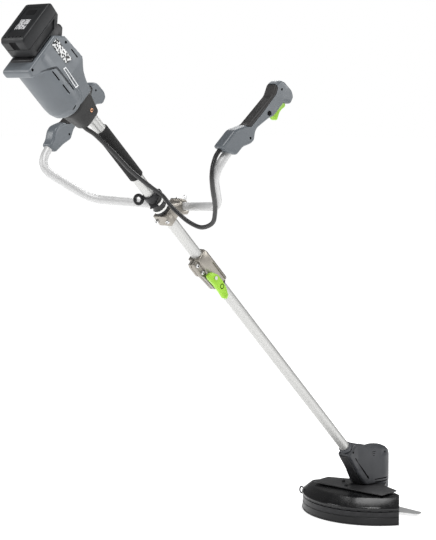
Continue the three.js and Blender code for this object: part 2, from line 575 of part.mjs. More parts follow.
// ---- cutting head ----
function buildHead() {
  const inHead = (geometry) => geometry.applyMatrix4(shaftToHead);
  const motorOutline = (inset, top, base) => turned(
    [[0, base + inset], [MOTOR_R - 3 - inset, base + inset], [MOTOR_R - inset, base + 8], [MOTOR_R - inset, top - 26],
      [MOTOR_R - 10 - inset, top - 6 - inset], [0, top - inset]], 32);
  const neckOutline = [[-131, 163], [-100, 187], [-80, 185], [-52, 172], [-22, 170], [14, 160], [14, 60], [-58, 60], [-68, 81]];
  const neck = solid(slabXZ(neckOutline, -19.5, 19.5, 6));
  const neckHollow = solid(slabXZ(insetOutline(neckOutline, 3), -16.5, 16.5, 4)).intersect(
    solid(inHead(box(LOWER_END + 3, 1400, -60, 60, -200, 200))));
  const floor = solid(box(-200, 200, -80, 80, -50, MOTOR_BASE));
  const outer = cut(join(solid(motorOutline(0, MOTOR_TOP, MOTOR_BASE)), neck), floor);
  const cavity = join(solid(motorOutline(SHELL, MOTOR_TOP, MOTOR_BASE)), cut(neckHollow,
    solid(box(-200, 200, -80, 80, -50, MOTOR_BASE + SHELL))));
  const tubeBore = solid(inHead(rod(900, LOWER_END + 2, TUBE_R + GAP, 24)));
  const spindleHole = solid(rod(40, 90, 8, 20, 'z'));
  const topBearingSeat = solid(rod(MOTOR_TOP - 14, MOTOR_TOP - 1.5, 6.5, 16, 'z'));
  const slots = [0, 1].map((i) => solid(box(4, 34, -60, 60, 83 + 5.5 * i, 85.2 + 5.5 * i)));
  const whole = cut(outer, cavity, tubeBore, spindleHole, topBearingSeat, ...slots);
  mesh(head, 'head_housing_left', whole.intersect(solid(box(-300, 200, GAP / 2, 90, 0, 300))), headPlastic);
  mesh(head, 'head_housing_right', whole.intersect(solid(box(-300, 200, -90, -GAP / 2, 0, 300))), headPlastic);

  mesh(head, 'motor_stator', ring(96, 130, 35, 24, 28, 'z'), copperWire);
  mesh(head, 'motor_mount_plate', ring(MOTOR_BASE + SHELL + GAP, 82, 34, 11.4, 28, 'z'), castAlloy);
  mesh(head, 'lower_bearing', ring(MOTOR_BASE + SHELL + GAP, 83, 11, 5.3, 24, 'z'), steel);
  mesh(head, 'upper_bearing', ring(149, 155, 11, 5.3, 24, 'z'), steel);

  const rotor = cut(solid(ring(97, 129, 23, 5, 28, 'z')), solid(rod(90, 140, 5.3, 20, 'z')));
  mesh(head, 'motor_rotor', rotor, steel);
  const spindle = turned([[0, 0.2], [4.8, 0.2], [4.8, 18.7], [7.2, 18.7], [7.2, 60], [5, 60], [5, 156], [0, 156]], 20);
  mesh(head, 'spindle', spindle, steel);
  const bladeTop = BLADE_Z + BLADE_THICKNESS;
  mesh(head, 'upper_flange', turned([[5.1, bladeTop + GAP], [21, bladeTop + GAP], [21, bladeTop + 3], [12.4, bladeTop + 4],
    [12.4, 18.4], [5.1, 18.4], [5.1, bladeTop + GAP]], 28), steel);
  mesh(head, 'lower_flange', turned([[5.1, BLADE_Z - 3], [18, BLADE_Z - 3], [23, BLADE_Z - 1.5], [23, BLADE_Z - GAP],
    [5.1, BLADE_Z - GAP], [5.1, BLADE_Z - 3]], 28), steel);
  mesh(head, 'blade_nut', turned([[5.7, 0.3], [9.2, 0.3], [9.2, BLADE_Z - 3.3], [5.7, BLADE_Z - 3.3], [5.7, 0.3]], 6), steel);
  mesh(head, 'blade', cut(solid(slabXY(bladePlan(), BLADE_Z, bladeTop)), solid(rod(-20, 40, 12.7, 28, 'z'))), steel);
}

// Three teeth, each with a straight cutting edge and a swept back.
function bladePlan() {
  const points = [];
  const firstTip = -85;
  for (let i = 0; i < 3; i += 1) {
    const at = (r, degrees) => {
      const a = rad(firstTip + 120 * i + degrees);
      return [r * Math.cos(a), r * Math.sin(a)];
    };
    points.push(at(BLADE_R - 4, -7), at(BLADE_R, -4), at(BLADE_R, 0), at(BLADE_R - 5, 4), at(70, 20), at(43, 45), at(47, 76),
      at(70, 94));
  }
  return points;
}

// ---- guard ----
// The guard's plan: everything behind two end cuts, which run out from beside the motor to the rim.
function guardWedge(shrink) {
  const half = [[-38, 34], [-46, 84], [-62, 129], [-102, 158], [-180, 219], [-300, 219]].map(([x, y]) => [x - shrink, y]);
  return solid(slabXY([...half, ...half.map(([x, y]) => [x, -y]).reverse()], -50, 150));
}

function buildGuard() {
  const wall = 3;
  const t = SKIRT_HEIGHT;
  const skirt = [[GUARD_R - wall, 0], [GUARD_R, 0], [GUARD_R - 3, t - GAP], [GUARD_R - 3 - wall, t - GAP], [GUARD_R - wall, 0]];
  mesh(head, 'guard_skirt', solid(turned(skirt, 64)).intersect(guardWedge(0)), darkPlastic);
  const top = MOTOR_BASE - 4;
  const dome = [[30, top], [30, top - wall], [150, 62], [178, 55], [GUARD_R - wall, 48], [GUARD_R - wall, t],
    [GUARD_R, t], [GUARD_R, 50], [181, 58], [152, 65], [30, top]];
  const plan = guardWedge(0);
  const boltHoles = guardBolts().map(([x, y]) => solid(rod(50, 90, 2.9, 12, 'z').translate(x, y, 0)));
  mesh(head, 'guard', cut(solid(turned(dome, 64)).intersect(plan), ...boltHoles), darkPlastic);
  const plate = slabXY([[30, -24], [30, 24], [-30, 60], [-50, 112], [-112, 112], [-116, 70], [-116, -70],
    [-112, -112], [-50, -112], [-30, -60]], top + GAP, MOTOR_BASE - GAP);
  mesh(head, 'guard_bracket', cut(solid(plate), solid(rod(50, 90, 12, 24, 'z')), ...boltHoles), castAlloy);
  const bolt = join(solid(rod(61, MOTOR_BASE + 1, 2.5, 12, 'z')), solid(rod(MOTOR_BASE, MOTOR_BASE + 4, 4.6, 12, 'z')));
  mesh(head, 'guard_bolt', bolt.translate([...guardBolts()[0], 0]), steel);
  // The knife stands against the skirt's inner face at its right end.
  const knife = solid(slabXY([[-112, -140], [-94, -152], [-70, -134], [-88, -124]], 14, 15.6));
  mesh(head, 'line_knife', knife.intersect(solid(rod(0, 60, GUARD_R - 2 - wall - GAP, 64, 'z'))), steel);
}

function guardBolts() {
  return [[-66, 48], [-98, 14]];
}

buildTubes();
buildHousing();
buildCable();
buildBattery();
buildHarnessClamp();
buildHandleClamp();
buildHandlebar();
buildGrips();
buildCoupler();
buildHead();
buildGuard();

export default cutter;
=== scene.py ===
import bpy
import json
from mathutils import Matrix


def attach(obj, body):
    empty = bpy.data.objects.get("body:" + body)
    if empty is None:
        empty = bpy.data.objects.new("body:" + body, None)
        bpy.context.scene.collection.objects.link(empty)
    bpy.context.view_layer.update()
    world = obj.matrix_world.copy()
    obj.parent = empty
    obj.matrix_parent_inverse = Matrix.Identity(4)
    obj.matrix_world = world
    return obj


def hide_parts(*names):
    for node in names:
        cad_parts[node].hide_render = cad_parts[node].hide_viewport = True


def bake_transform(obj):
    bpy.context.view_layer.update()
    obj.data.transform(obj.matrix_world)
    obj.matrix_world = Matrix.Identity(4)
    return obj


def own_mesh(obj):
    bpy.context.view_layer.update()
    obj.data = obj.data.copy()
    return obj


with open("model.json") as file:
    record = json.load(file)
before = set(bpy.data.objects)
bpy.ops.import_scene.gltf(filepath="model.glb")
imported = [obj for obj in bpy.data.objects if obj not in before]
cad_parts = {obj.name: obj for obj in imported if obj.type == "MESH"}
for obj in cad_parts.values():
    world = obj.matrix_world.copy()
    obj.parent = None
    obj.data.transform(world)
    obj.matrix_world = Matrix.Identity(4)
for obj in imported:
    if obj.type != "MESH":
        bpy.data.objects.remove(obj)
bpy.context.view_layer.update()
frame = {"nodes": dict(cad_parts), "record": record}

import json
import math
import bmesh
import bpy
from mathutils import Matrix, Vector

D = math.radians
NODES = frame["nodes"]
scene = bpy.context.scene

# ---------------------------------------------------------------- frames, from millimetres
MM = Matrix.Scale(0.001, 4)
TILT = D(44.2)
SHAFT = Matrix.Translation((0.00976, -0.029, 0.01004)) @ Matrix.Rotation(TILT, 4, "Y") @ MM
HEAD = Matrix.Translation(SHAFT @ Vector((1189, 0, -45))) @ MM
BARS = Matrix.Translation(SHAFT @ Vector((83, 0, 41.6))) @ MM


def grip_frame(side):
    turn = Matrix.Rotation(side * D(4.5), 4, "Z") @ Matrix.Rotation(-D(43.3), 4, "Y")
    return BARS @ Matrix.Translation((-139.4, side * 275, 130.1)) @ turn


GRIPS = {"left": grip_frame(1), "right": grip_frame(-1)}

# ---------------------------------------------------------------- camera
camera_data = bpy.data.cameras.new("camera")
camera = bpy.data.objects.new("camera", camera_data)
scene.collection.objects.link(camera)
camera_data.lens = 107.8
camera_data.sensor_width = 36
camera_data.sensor_fit = "AUTO"
camera_data.clip_start = 0.05
camera.location = (-2.5182, -2.5414, 0.2293)
aim = Vector((0.2275, -0.0292, -0.1734)) - camera.location
camera.rotation_euler = (aim.to_track_quat("-Z", "Y").to_matrix() @ Matrix.Rotation(D(-0.14), 3,
        "Z")).to_euler()
scene.camera = camera


# ---------------------------------------------------------------- materials
def node_material(name):
    mat = bpy.data.materials.new(name)
    mat.use_nodes = True
    tree = mat.node_tree
    shader = tree.nodes["Principled BSDF"]
    return mat, tree, shader


def add(tree, kind, links=(), **values):
    """A node with its properties, its named input values and its links (input name, output socket)."""
    n = tree.nodes.new(kind)
    for key, value in values.items():
        if hasattr(n, key) and key not in [s.name for s in n.inputs]:
            setattr(n, key, value)
        else:
            n.inputs[key.replace("_", " ")].default_value = value
    for name, socket in links:
        tree.links.new(socket, n.inputs[name])
    return n


def ramp(tree, source, stops):
    n = tree.nodes.new("ShaderNodeValToRGB")
    while len(n.color_ramp.elements) < len(stops):
        n.color_ramp.elements.new(0.5)
    for e, (at, value) in zip(n.color_ramp.elements, stops):
        e.position = at
        e.color = (*value, 1) if isinstance(value, tuple) else (value, value, value, 1)
    tree.links.new(source, n.inputs["Fac"])
    return n.outputs["Color"]


def moulded(name, colour, rough=0.5, grain=900, bump=0.12, worn=1.25, spread=0.12, spec=0.5):
    """Moulded plastic: a fine spark-eroded grain, slow colour drift and paler worn edges."""
    mat, tree, shader = node_material(name)
    co = add(tree, "ShaderNodeTexCoord").outputs["Object"]
    drift = add(tree, "ShaderNodeTexNoise", [("Vector", co)], Scale=14.0, Detail=4.0)
    darker = tuple(c * (1 - spread) for c in colour)
    lighter = tuple(min(1, c * (1 + spread)) for c in colour)
    base = ramp(tree, drift.outputs["Fac"], [(0.3, darker), (0.7, lighter)])
    edge = add(tree, "ShaderNodeNewGeometry").outputs["Pointiness"]
    wear = ramp(tree, edge, [(0.52, 0.0), (0.62, 1.0)])
    mix = add(tree, "ShaderNodeMix", [("Factor", wear)], data_type="RGBA")
    tree.links.new(base, mix.inputs[6])
    mix.inputs[7].default_value = (*[min(1, c * worn + 0.012) for c in colour], 1)
    tree.links.new(mix.outputs[2], shader.inputs["Base Color"])
    fine = add(tree, "ShaderNodeTexNoise", [("Vector", co)], Scale=float(grain), Detail=2.0)
    smudge = add(tree, "ShaderNodeTexNoise", [("Vector", co)], Scale=45.0, Detail=5.0)
    tree.links.new(ramp(tree, smudge.outputs["Fac"], [(0.3, rough - 0.07), (0.7, rough + 0.07)]),
                   shader.inputs["Roughness"])
    b = add(tree, "ShaderNodeBump", [("Height", fine.outputs["Fac"])], Strength=bump, Distance=0.0004)
    tree.links.new(b.outputs["Normal"], shader.inputs["Normal"])
    shader.inputs["Specular IOR Level"].default_value = spec
    return mat


def metal(name, colour, rough=0.3, grain=(900, 900, 30), bump=0.05, cast=False, metallic=1.0):
    """Metal: drawn or brushed along one direction, or pitted where it is cast."""
    mat, tree, shader = node_material(name)
    co = add(tree, "ShaderNodeTexCoord").outputs["Object"]
    place = add(tree, "ShaderNodeMapping", [("Vector", co)])
    place.inputs["Scale"].default_value = (700, 700, 700) if cast else grain
    if not cast:
        place.inputs["Rotation"].default_value = (0, -TILT, 0)
    lines = add(tree, "ShaderNodeTexNoise", [("Vector", place.outputs["Vector"])], Scale=1.0, Detail=3.0)
    blot = add(tree, "ShaderNodeTexNoise", [("Vector", co)], Scale=9.0, Detail=1.5)
    base = ramp(tree, blot.outputs["Fac"], [(0.3, tuple(c * 0.97 for c in colour)),
                                            (0.7, tuple(min(1, c * 1.03) for c in colour))])
    tree.links.new(base, shader.inputs["Base Color"])
    tree.links.new(ramp(tree, lines.outputs["Fac"], [(0.3, max(0.05, rough - 0.015)), (0.7, rough + 0.015)]),
                   shader.inputs["Roughness"])
    b = add(tree, "ShaderNodeBump", [("Height", lines.outputs["Fac"])], Strength=bump * (4 if cast else 1),
            Distance=0.0003)
    tree.links.new(b.outputs["Normal"], shader.inputs["Normal"])
    shader.inputs["Metallic"].default_value = metallic
    return mat


def cellular(name, colour, rough, scale, bump):
    """Foam or soft rubber: small open cells and a dusty bloom."""
    mat, tree, shader = node_material(name)
    co = add(tree, "ShaderNodeTexCoord").outputs["Object"]
    cells = add(tree, "ShaderNodeTexVoronoi", [("Vector", co)], Scale=float(scale))
    dust = add(tree, "ShaderNodeTexNoise", [("Vector", co)], Scale=60.0, Detail=6.0)
    base = ramp(tree, dust.outputs["Fac"], [(0.35, colour), (0.8, tuple(c * 2.2 for c in colour))])
    tree.links.new(base, shader.inputs["Base Color"])
    tree.links.new(ramp(tree, dust.outputs["Fac"], [(0.3, rough - 0.08), (0.7, rough + 0.08)]),
                   shader.inputs["Roughness"])
    b = add(tree, "ShaderNodeBump", [("Height", cells.outputs["Distance"])], Strength=bump, Distance=0.0005)
    tree.links.new(b.outputs["Normal"], shader.inputs["Normal"])
    return mat


def printed(name, ground, ink, spacing, share):
    """A sticker with a random speckle of two tones and no lettering."""
    mat, tree, shader = node_material(name)
    co = add(tree, "ShaderNodeTexCoord").outputs["Object"]
    speck = add(tree, "ShaderNodeTexNoise", [("Vector", co)], Scale=float(spacing), Detail=1.0)
    fac = ramp(tree, speck.outputs["Fac"], [(share - 0.01, 0.0), (share + 0.01, 1.0)])
    mix = add(tree, "ShaderNodeMix", [("Factor", fac)], data_type="RGBA")
    mix.inputs[6].default_value = (*ground, 1)
    mix.inputs[7].default_value = (*ink, 1)
    tree.links.new(mix.outputs[2], shader.inputs["Base Color"])
    tree.links.new(ramp(tree, speck.outputs["Fac"], [(0.3, 0.3), (0.7, 0.42)]), shader.inputs["Roughness"])
    return mat


M = {
    "housing": moulded("housing_grey", (0.120, 0.134, 0.148), 0.42, spread=0.08, worn=1.7),
    # A darker housing grey for the side grooves: painted shade along them.
    "groove": moulded("housing_groove_painted_shade", (0.050, 0.056, 0.063), 0.5, spread=0.08, worn=1.2),
    "grip": moulded("grip_grey", (0.098, 0.111, 0.124), 0.40, spread=0.08, worn=1.7),
    "battery": moulded("battery_charcoal", (0.010, 0.0105, 0.0115), 0.48, bump=0.2, worn=2.4, spec=0.3),
    "black": moulded("black_moulding", (0.006, 0.006, 0.007), 0.4, bump=0.1, worn=2.5, spec=0.3),
    # Near-black: the real colour of the lock button and battery indicator, and painted shade inside cut
    # slots, holes, sockets and notches.
    "black_and_recess_shade": moulded("black_and_painted_recess_shade", (0.003, 0.003, 0.0035), 0.7, bump=0.05, worn=1.0, spec=0.1),
    "gloss": moulded("guard_black", (0.005, 0.005, 0.0055), 0.24, bump=0.03, worn=3.0, grain=500, spec=0.4),
    "skirt": moulded("skirt_black", (0.007, 0.007, 0.008), 0.36, bump=0.06, worn=3.0, grain=500, spec=0.3),
    "head": moulded("head_grey", (0.034, 0.036, 0.041), 0.42, spread=0.1, worn=1.8, spec=0.4),
    "green": moulded("trigger_green", (0.27, 0.53, 0.02), 0.35, bump=0.08),
    "pad": cellular("soft_pad", (0.013, 0.012, 0.012), 0.6, 1200, 0.12),
    "rubber": cellular("black_rubber", (0.005, 0.005, 0.005), 0.5, 1300, 0.15),
    "foam": cellular("sleeve_foam", (0.005, 0.005, 0.005), 0.8, 700, 0.5),
    "loom": cellular("cable_loom", (0.005, 0.005, 0.0055), 0.36, 1500, 0.08),
    "tube": metal("silver_tube", (0.50, 0.50, 0.49), 0.44, (20, 400, 400), 0.004, metallic=0.7),
    "bar": metal("bar_lacquer", (0.53, 0.53, 0.53), 0.52, (30, 60, 60), 0.0, metallic=0.35),
    "cast": metal("cast_champagne", (0.29, 0.27, 0.24), 0.38, cast=True, metallic=0.85),
    "steel": metal("bright_steel", (0.64, 0.64, 0.64), 0.32, (1200, 60, 1200), 0.04, metallic=0.8),
    "blade": metal("blade_steel", (0.66, 0.66, 0.66), 0.34, (1400, 60, 1400), 0.05, metallic=0.7),
    "copper": metal("copper_screw", (0.62, 0.33, 0.20), 0.3, cast=True),
    "winding": metal("copper_winding", (0.55, 0.26, 0.10), 0.35, (1600, 1600, 1600), 0.3),
    "plate": moulded("bracket_plate", (0.030, 0.030, 0.031), 0.4, bump=0.06, spec=0.4),
    "nylon": moulded("white_nylon", (0.80, 0.80, 0.78), 0.4, bump=0.05, worn=1.0),
    "board": moulded("board_green", (0.02, 0.11, 0.05), 0.4),
    "rating": printed("rating_label", (0.70, 0.71, 0.71), (0.010, 0.010, 0.011), 210, 0.50),
    "label": printed("pale_label", (0.50, 0.50, 0.51), (0.06, 0.06, 0.065), 260, 0.56),
    "frame_line": moulded("label_line", (0.72, 0.73, 0.74), 0.4, bump=0.03, worn=1.0),
}
SLOT_MATERIAL = {
    "silver_tube": "tube", "black_rubber": "rubber", "white_nylon": "nylon", "grey_plastic": "housing",
    "charcoal_plastic": "battery", "black_plastic": "black", "circuit_board": "board", "cast_alloy": "cast",
    "bracket_plate": "plate", "steel": "steel", "copper_screw": "copper", "green_plastic": "green",
    "head_plastic": "head", "copper_winding": "winding",
}
SLOT_OF = {s["node"]: s["material_slot"] for s in frame["record"]["subparts"]}
for node_name, node_object in NODES.items():
    node_object.data.materials.clear()
    node_object.data.materials.append(M[SLOT_MATERIAL[SLOT_OF[node_name]]])


# ---------------------------------------------------------------- mesh tools
def make(name, bm, place, material, smooth=35):
    """A mesh object from millimetres in a local frame, with edges over `smooth` degrees kept sharp."""
    bmesh.ops.transform(bm, matrix=place, verts=bm.verts)
    bmesh.ops.recalc_face_normals(bm, faces=bm.faces)
    mesh = bpy.data.meshes.new(name)
    bm.to_mesh(mesh)
    bm.free()
    obj = bpy.data.objects.new(name, mesh)
    scene.collection.objects.link(obj)
    mesh.materials.append(M[material])
    shade(obj, smooth)
    return obj


def shade(obj, smooth):
    mesh = obj.data
    mesh.polygons.foreach_set("use_smooth", [True] * len(mesh.polygons))
    mesh.set_sharp_from_angle(angle=D(smooth))


def cutter(bm, place, material):
    """A throwaway object for a boolean."""
    return make("tool", bm, place, material)


def bake(obj, smooth=35):
    """Applies the object's modifiers to its mesh."""
    bpy.context.view_layer.update()
    graph = bpy.context.evaluated_depsgraph_get()
    done = bpy.data.meshes.new_from_object(obj.evaluated_get(graph))
    obj.modifiers.clear()
    obj.data = done
    shade(obj, smooth)
    return obj


def boolean(obj, tools, operation="DIFFERENCE", smooth=35):
    for tool in tools:
        mod = obj.modifiers.new("solid", "BOOLEAN")
        mod.operation = operation
        mod.solver = "EXACT"
        # The cutter's material goes onto the faces it cuts, so a near-black cutter paints shade into the
        # recess.
        mod.material_mode = "TRANSFER"
        mod.object = tool
    bake(obj, smooth)
    for tool in tools:
        bpy.data.objects.remove(tool)
    return obj


def soften(obj, voxel, steps, smooth=180):
    """A voxel skin, relaxed so that every edge and joint blends as on a moulding."""
    mod = obj.modifiers.new("skin", "REMESH")
    mod.mode = "VOXEL"
    mod.voxel_size = voxel
    relax = obj.modifiers.new("relax", "SMOOTH")
    relax.factor = 0.6
    relax.iterations = steps
    return bake(obj, smooth)


def finish_piece(obj, body, slot, *nodes):
    if nodes:
        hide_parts(*nodes)
    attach(obj, body)
    return obj


def bevelled(bm, size, steps=3, angle=25):
    bmesh.ops.recalc_face_normals(bm, faces=bm.faces)
    edges = [e for e in bm.edges if len(e.link_faces) == 2 and e.calc_face_angle(0) > D(angle)]
    bmesh.ops.bevel(bm, geom=edges, offset=size, segments=steps, profile=0.5, affect="EDGES",
                    clamp_overlap=True)
    return bm


def slab(points, y0, y1, axis="Y"):
    """An outline in X-Z (or X-Y) given depth along Y (or Z)."""
    bm = bmesh.new()
    put = (lambda p, d: (p[0], d, p[1])) if axis == "Y" else (lambda p, d: (p[0], p[1], d))
    low = [bm.verts.new(put(p, y0)) for p in points]
    high = [bm.verts.new(put(p, y1)) for p in points]
    bm.faces.new(low)
    bm.faces.new(high)
    for i in range(len(points)):
        j = (i + 1) % len(points)
        bm.faces.new((low[i], low[j], high[j], high[i]))
    return bm


def block(x0, x1, y0, y1, z0, z1):
    return slab([(x0, z0), (x1, z0), (x1, z1), (x0, z1)], y0, y1)


def turned(profile, segments=64, along="X", closed=False):
    """A profile of (radius, height) turned about X, Y or Z."""
    bm = bmesh.new()
    rings = []
    for i in range(segments):
        a = 2 * math.pi * i / segments
        c, s = math.cos(a), math.sin(a)
        row = []
        for r, h in profile:
            p = {"X": (h, r * c, r * s), "Y": (r * c, h, r * s), "Z": (r * c, r * s, h)}[along]
            row.append(bm.verts.new(p))
        rings.append(row)
    count = len(profile)
    for i in range(segments):
        a, b = rings[i], rings[(i + 1) % segments]
        for j in range(count if closed else count - 1):
            k = (j + 1) % count
            bm.faces.new((a[j], a[k], b[k], b[j]))
    bmesh.ops.remove_doubles(bm, verts=bm.verts, dist=0.0005)
    return bm


def pin(radius, low, high, segments=64, along="X"):
    """A plain round bar."""
    return turned([(0, low), (radius, low), (radius, high), (0, high)], segments, along)


def moved(bm, x=0, y=0, z=0, turn=None):
    if turn is not None:
        bmesh.ops.transform(bm, matrix=turn, verts=bm.verts)
    bmesh.ops.translate(bm, vec=(x, y, z), verts=bm.verts)
    return bm


def joined(*parts):
    """Several bmeshes put together as one."""
    out = bmesh.new()
    for part in parts:
        mesh = bpy.data.meshes.new("part")
        part.to_mesh(mesh)
        part.free()
        out.from_mesh(mesh)
        bpy.data.meshes.remove(mesh)
    return out


def curve_points(corners, count):
    """Catmull-Rom through the corners, evenly spaced."""
    pts = [Vector(c) for c in corners]
    full = [pts[0] * 2 - pts[1], *pts, pts[-1] * 2 - pts[-2]]
    fine = []
    for i in range(1, len(full) - 2):
        a, b, c, d = full[i - 1:i + 3]
        for k in range(24):
            t = k / 24
            square = 2 * a - 5 * b + 4 * c - d
            cube = 3 * b - a - 3 * c + d
            fine.append(0.5 * ((2 * b) + (c - a) * t + square * t * t + cube * t ** 3))
    fine.append(pts[-1])
    return spaced(fine, count)


def spaced(fine, count):
    lengths = [0.0]
    for p, q in zip(fine, fine[1:]):
        lengths.append(lengths[-1] + (q - p).length)
    out, j = [], 0
    for i in range(count):
        want = lengths[-1] * i / (count - 1)
        while j < len(fine) - 2 and lengths[j + 1] < want:
            j += 1
        span = max(lengths[j + 1] - lengths[j], 1e-9)
        out.append(fine[j].lerp(fine[j + 1], (want - lengths[j]) / span))
    return out


def swept(path, radius, sides=16):
    """A round section along a path. radius is a number or a function of the point's index."""
    bm = bmesh.new()
    normal = None
    rings = []
    for i, p in enumerate(path):
        t = (path[min(i + 1, len(path) - 1)] - path[max(i - 1, 0)]).normalized()
        if normal is None:
            normal = t.orthogonal().normalized()
        normal = (normal - t * normal.dot(t)).normalized()
        side = t.cross(normal)
        r = radius(i) if callable(radius) else radius
        rings.append([bm.verts.new(p + (normal * math.cos(a) + side * math.sin(a)) * r)
                      for a in (2 * math.pi * k / sides for k in range(sides))])
    for a, b in zip(rings, rings[1:]):
        for k in range(sides):
            bm.faces.new((a[k], a[(k + 1) % sides], b[(k + 1) % sides], b[k]))
    bm.faces.new(rings[0])
    bm.faces.new(rings[-1])
    return bm


def loft(sections, sides=48):
    """Rounded-square sections (x, centre y, centre z, half y, half z, squareness) joined along X."""
    bm = bmesh.new()
    rings = []
    for x, cy, cz, hy, hz, power in sections:
        ring = []
        for k in range(sides):
            a = 2 * math.pi * k / sides
            c, s = math.cos(a), math.sin(a)
            y = cy + hy * math.copysign(abs(c) ** (2 / power), c)
            z = cz + hz * math.copysign(abs(s) ** (2 / power), s)
            ring.append(bm.verts.new((x, y, z)))
        rings.append(ring)
    for a, b in zip(rings, rings[1:]):
        for k in range(sides):
            bm.faces.new((a[k], a[(k + 1) % sides], b[(k + 1) % sides], b[k]))
    bm.faces.new(rings[0])
    bm.faces.new(rings[-1])
    return bm


def refine(node, material, body, slot, size=0.7):
    """A small hard piece from its CAD solid, with its facets merged and its edges rounded."""
    bm = bmesh.new()
    bm.from_mesh(NODES[node].data)
    bmesh.ops.remove_doubles(bm, verts=bm.verts, dist=0.00002)
    bmesh.ops.dissolve_limit(bm, angle_limit=D(1.5), verts=bm.verts, edges=bm.edges)
    mesh = bpy.data.meshes.new(node + "_look")
    bm.to_mesh(mesh)
    bm.free()
    obj = bpy.data.objects.new(node + "_look", mesh)
    scene.collection.objects.link(obj)
    mesh.materials.append(M[material])
    mod = obj.modifiers.new("edge", "BEVEL")
    mod.width = size / 1000
    mod.segments = 2
    mod.limit_method = "ANGLE"
    mod.angle_limit = D(32)
    bake(obj, 40)
    return finish_piece(obj, body, slot, node)


def screw(name, place, radius, depth, body, material="steel", slot="steel", along="Y", out=-1):
    """A pan-head screw with a hexagon socket, at the origin of its place, facing -along or +along."""
    r = radius
    bm = turned([(0, depth), (r * 0.72, depth), (r * 0.95, depth * 0.7), (r, depth * 0.35), (r, 0), (0, 0)],
                28, along)
    socket = turned([(0, depth * 0.35), (r * 0.48, depth * 0.35), (r * 0.48, depth * 1.4), (0, depth * 1.4)],
                    6, along)
    if out < 0:
        axis = {"X": (1, 0, 0), "Y": (0, 1, 0), "Z": (0, 0, 1)}[along]
        flip = Matrix.Scale(-1, 4, axis)
        bmesh.ops.transform(bm, matrix=flip, verts=bm.verts)
        bmesh.ops.transform(socket, matrix=flip, verts=socket.verts)
    obj = make(name, bm, place, material, 30)
    # The hexagon socket takes the near-black recess material: painted shade inside it.
    boolean(obj, [cutter(socket, place, "black_and_recess_shade")], smooth=30)
    return finish_piece(obj, body, slot)


def at(place, x, y, z):
    return place @ Matrix.Translation((x, y, z))


# ---------------------------------------------------------------- control cable, boot to right grip
ROUTE = [
    (-312, -3, -31), (-290, -4, -32), (-268, -6, -34), (-246, -9, -32), (-224, -13, -27), (-174, -19, -23),
    (-136, -22, -20.5), (-107, -24, -19), (-70, -27, -13), (-33, -29, -5), (2, -33, 2), (26, -45, -5),
    (46, -65, -13), (58, -90, -22), (63, -124, -30), (56, -153, -31), (42, -177, -29), (17, -197, -27),
    (-7, -214, -28), (-31, -230, -31), (-59, -247, -34), (-86, -262, -34), (-106, -270, -28),
    (-117, -271, -15),
    (-123, -270, 1),
]
LOOM_RIDGE = 0.00495
LOOM_VALLEY = 0.0044
TAIL = [(-23, 3, 17.5), (-8, 1, 18.5), (8, 0, 19)]
cable_corners = [SHAFT @ Vector(p) for p in ROUTE] + [GRIPS["right"] @ Vector(p) for p in TAIL]
CABLE_STEPS = 920
cable_path = curve_points(cable_corners, CABLE_STEPS)
cable = make("control_cable_loom", swept(cable_path, lambda i: LOOM_RIDGE if i % 4 < 2 else LOOM_VALLEY, 14),
             Matrix.Identity(4), "loom", 60)
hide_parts("control_cable")
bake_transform(cable)

# ---------------------------------------------------------------- shaft tubes and sleeves
TUBE_R = 13
TUBE_BORE = 11.5
TUBE_HOLE = 13.1
for name, a, b, body in (("upper_tube", -345, 256, "frame"), ("lower_tube", 262, 1010, "lower")):
    tube = turned([(TUBE_BORE, a), (TUBE_R - 0.4, a), (TUBE_R, a + 0.4), (TUBE_R, b - 0.4),
                   (TUBE_R - 0.4, b), (TUBE_BORE, b)], 72, closed=True)
    finish_piece(make(name + "_skin", tube, SHAFT, "tube", 40), body, "silver_tube", name)

FOAM_BORE = 13.4
FOAM_START = -211
RIB_PITCH = 4
RIBS = 37
profile = [(FOAM_BORE, FOAM_START)]
for i in range(RIBS):
    s = FOAM_START + i * RIB_PITCH
    profile += [(15.6, s + 0.3), (16.4, s + 1.0), (16.5, s + 2.9), (15.7, s + 3.7)]
profile += [(FOAM_BORE, FOAM_START + RIBS * RIB_PITCH)]
finish_piece(make("foam_sleeve_ribs", turned(profile, 64, closed=True), SHAFT, "foam", 60), "frame",
             "black_rubber", "foam_sleeve")
rubber = [(13.3, 9), (15.2, 9), (15.6, 9.6), (15.6, 14), (15.2, 14.6), (15.2, 46), (15.6, 46.6),
          (15.6, 50.4), (15.2, 51), (13.3, 51)]
finish_piece(make("rubber_sleeve_skin", turned(rubber, 64, closed=True), SHAFT, "rubber", 40), "frame",
             "black_rubber", "rubber_sleeve")
for i, station in enumerate((21, 40)):
    strap = turned([(15.7, station - 2.4), (17.2, station - 2.4), (17.4, station - 2), (17.4, station + 2),
                    (17.2, station + 2.4),
                    (15.7, station + 2.4)], 64, closed=True)
    buckle = bevelled(block(station - 3.2, station + 3.2, 3, 10, 16, 20.6), 0.6, 2)
    tail = bevelled(block(station - 2.2, station + 2.2, -2, 3.4, 18, 19.2), 0.4, 2)
    finish_piece(make(f"cable_tie_{i + 1}_strap", joined(strap, buckle, tail), SHAFT, "nylon", 40), "frame",
                 "white_nylon", f"cable_tie_{i + 1}")

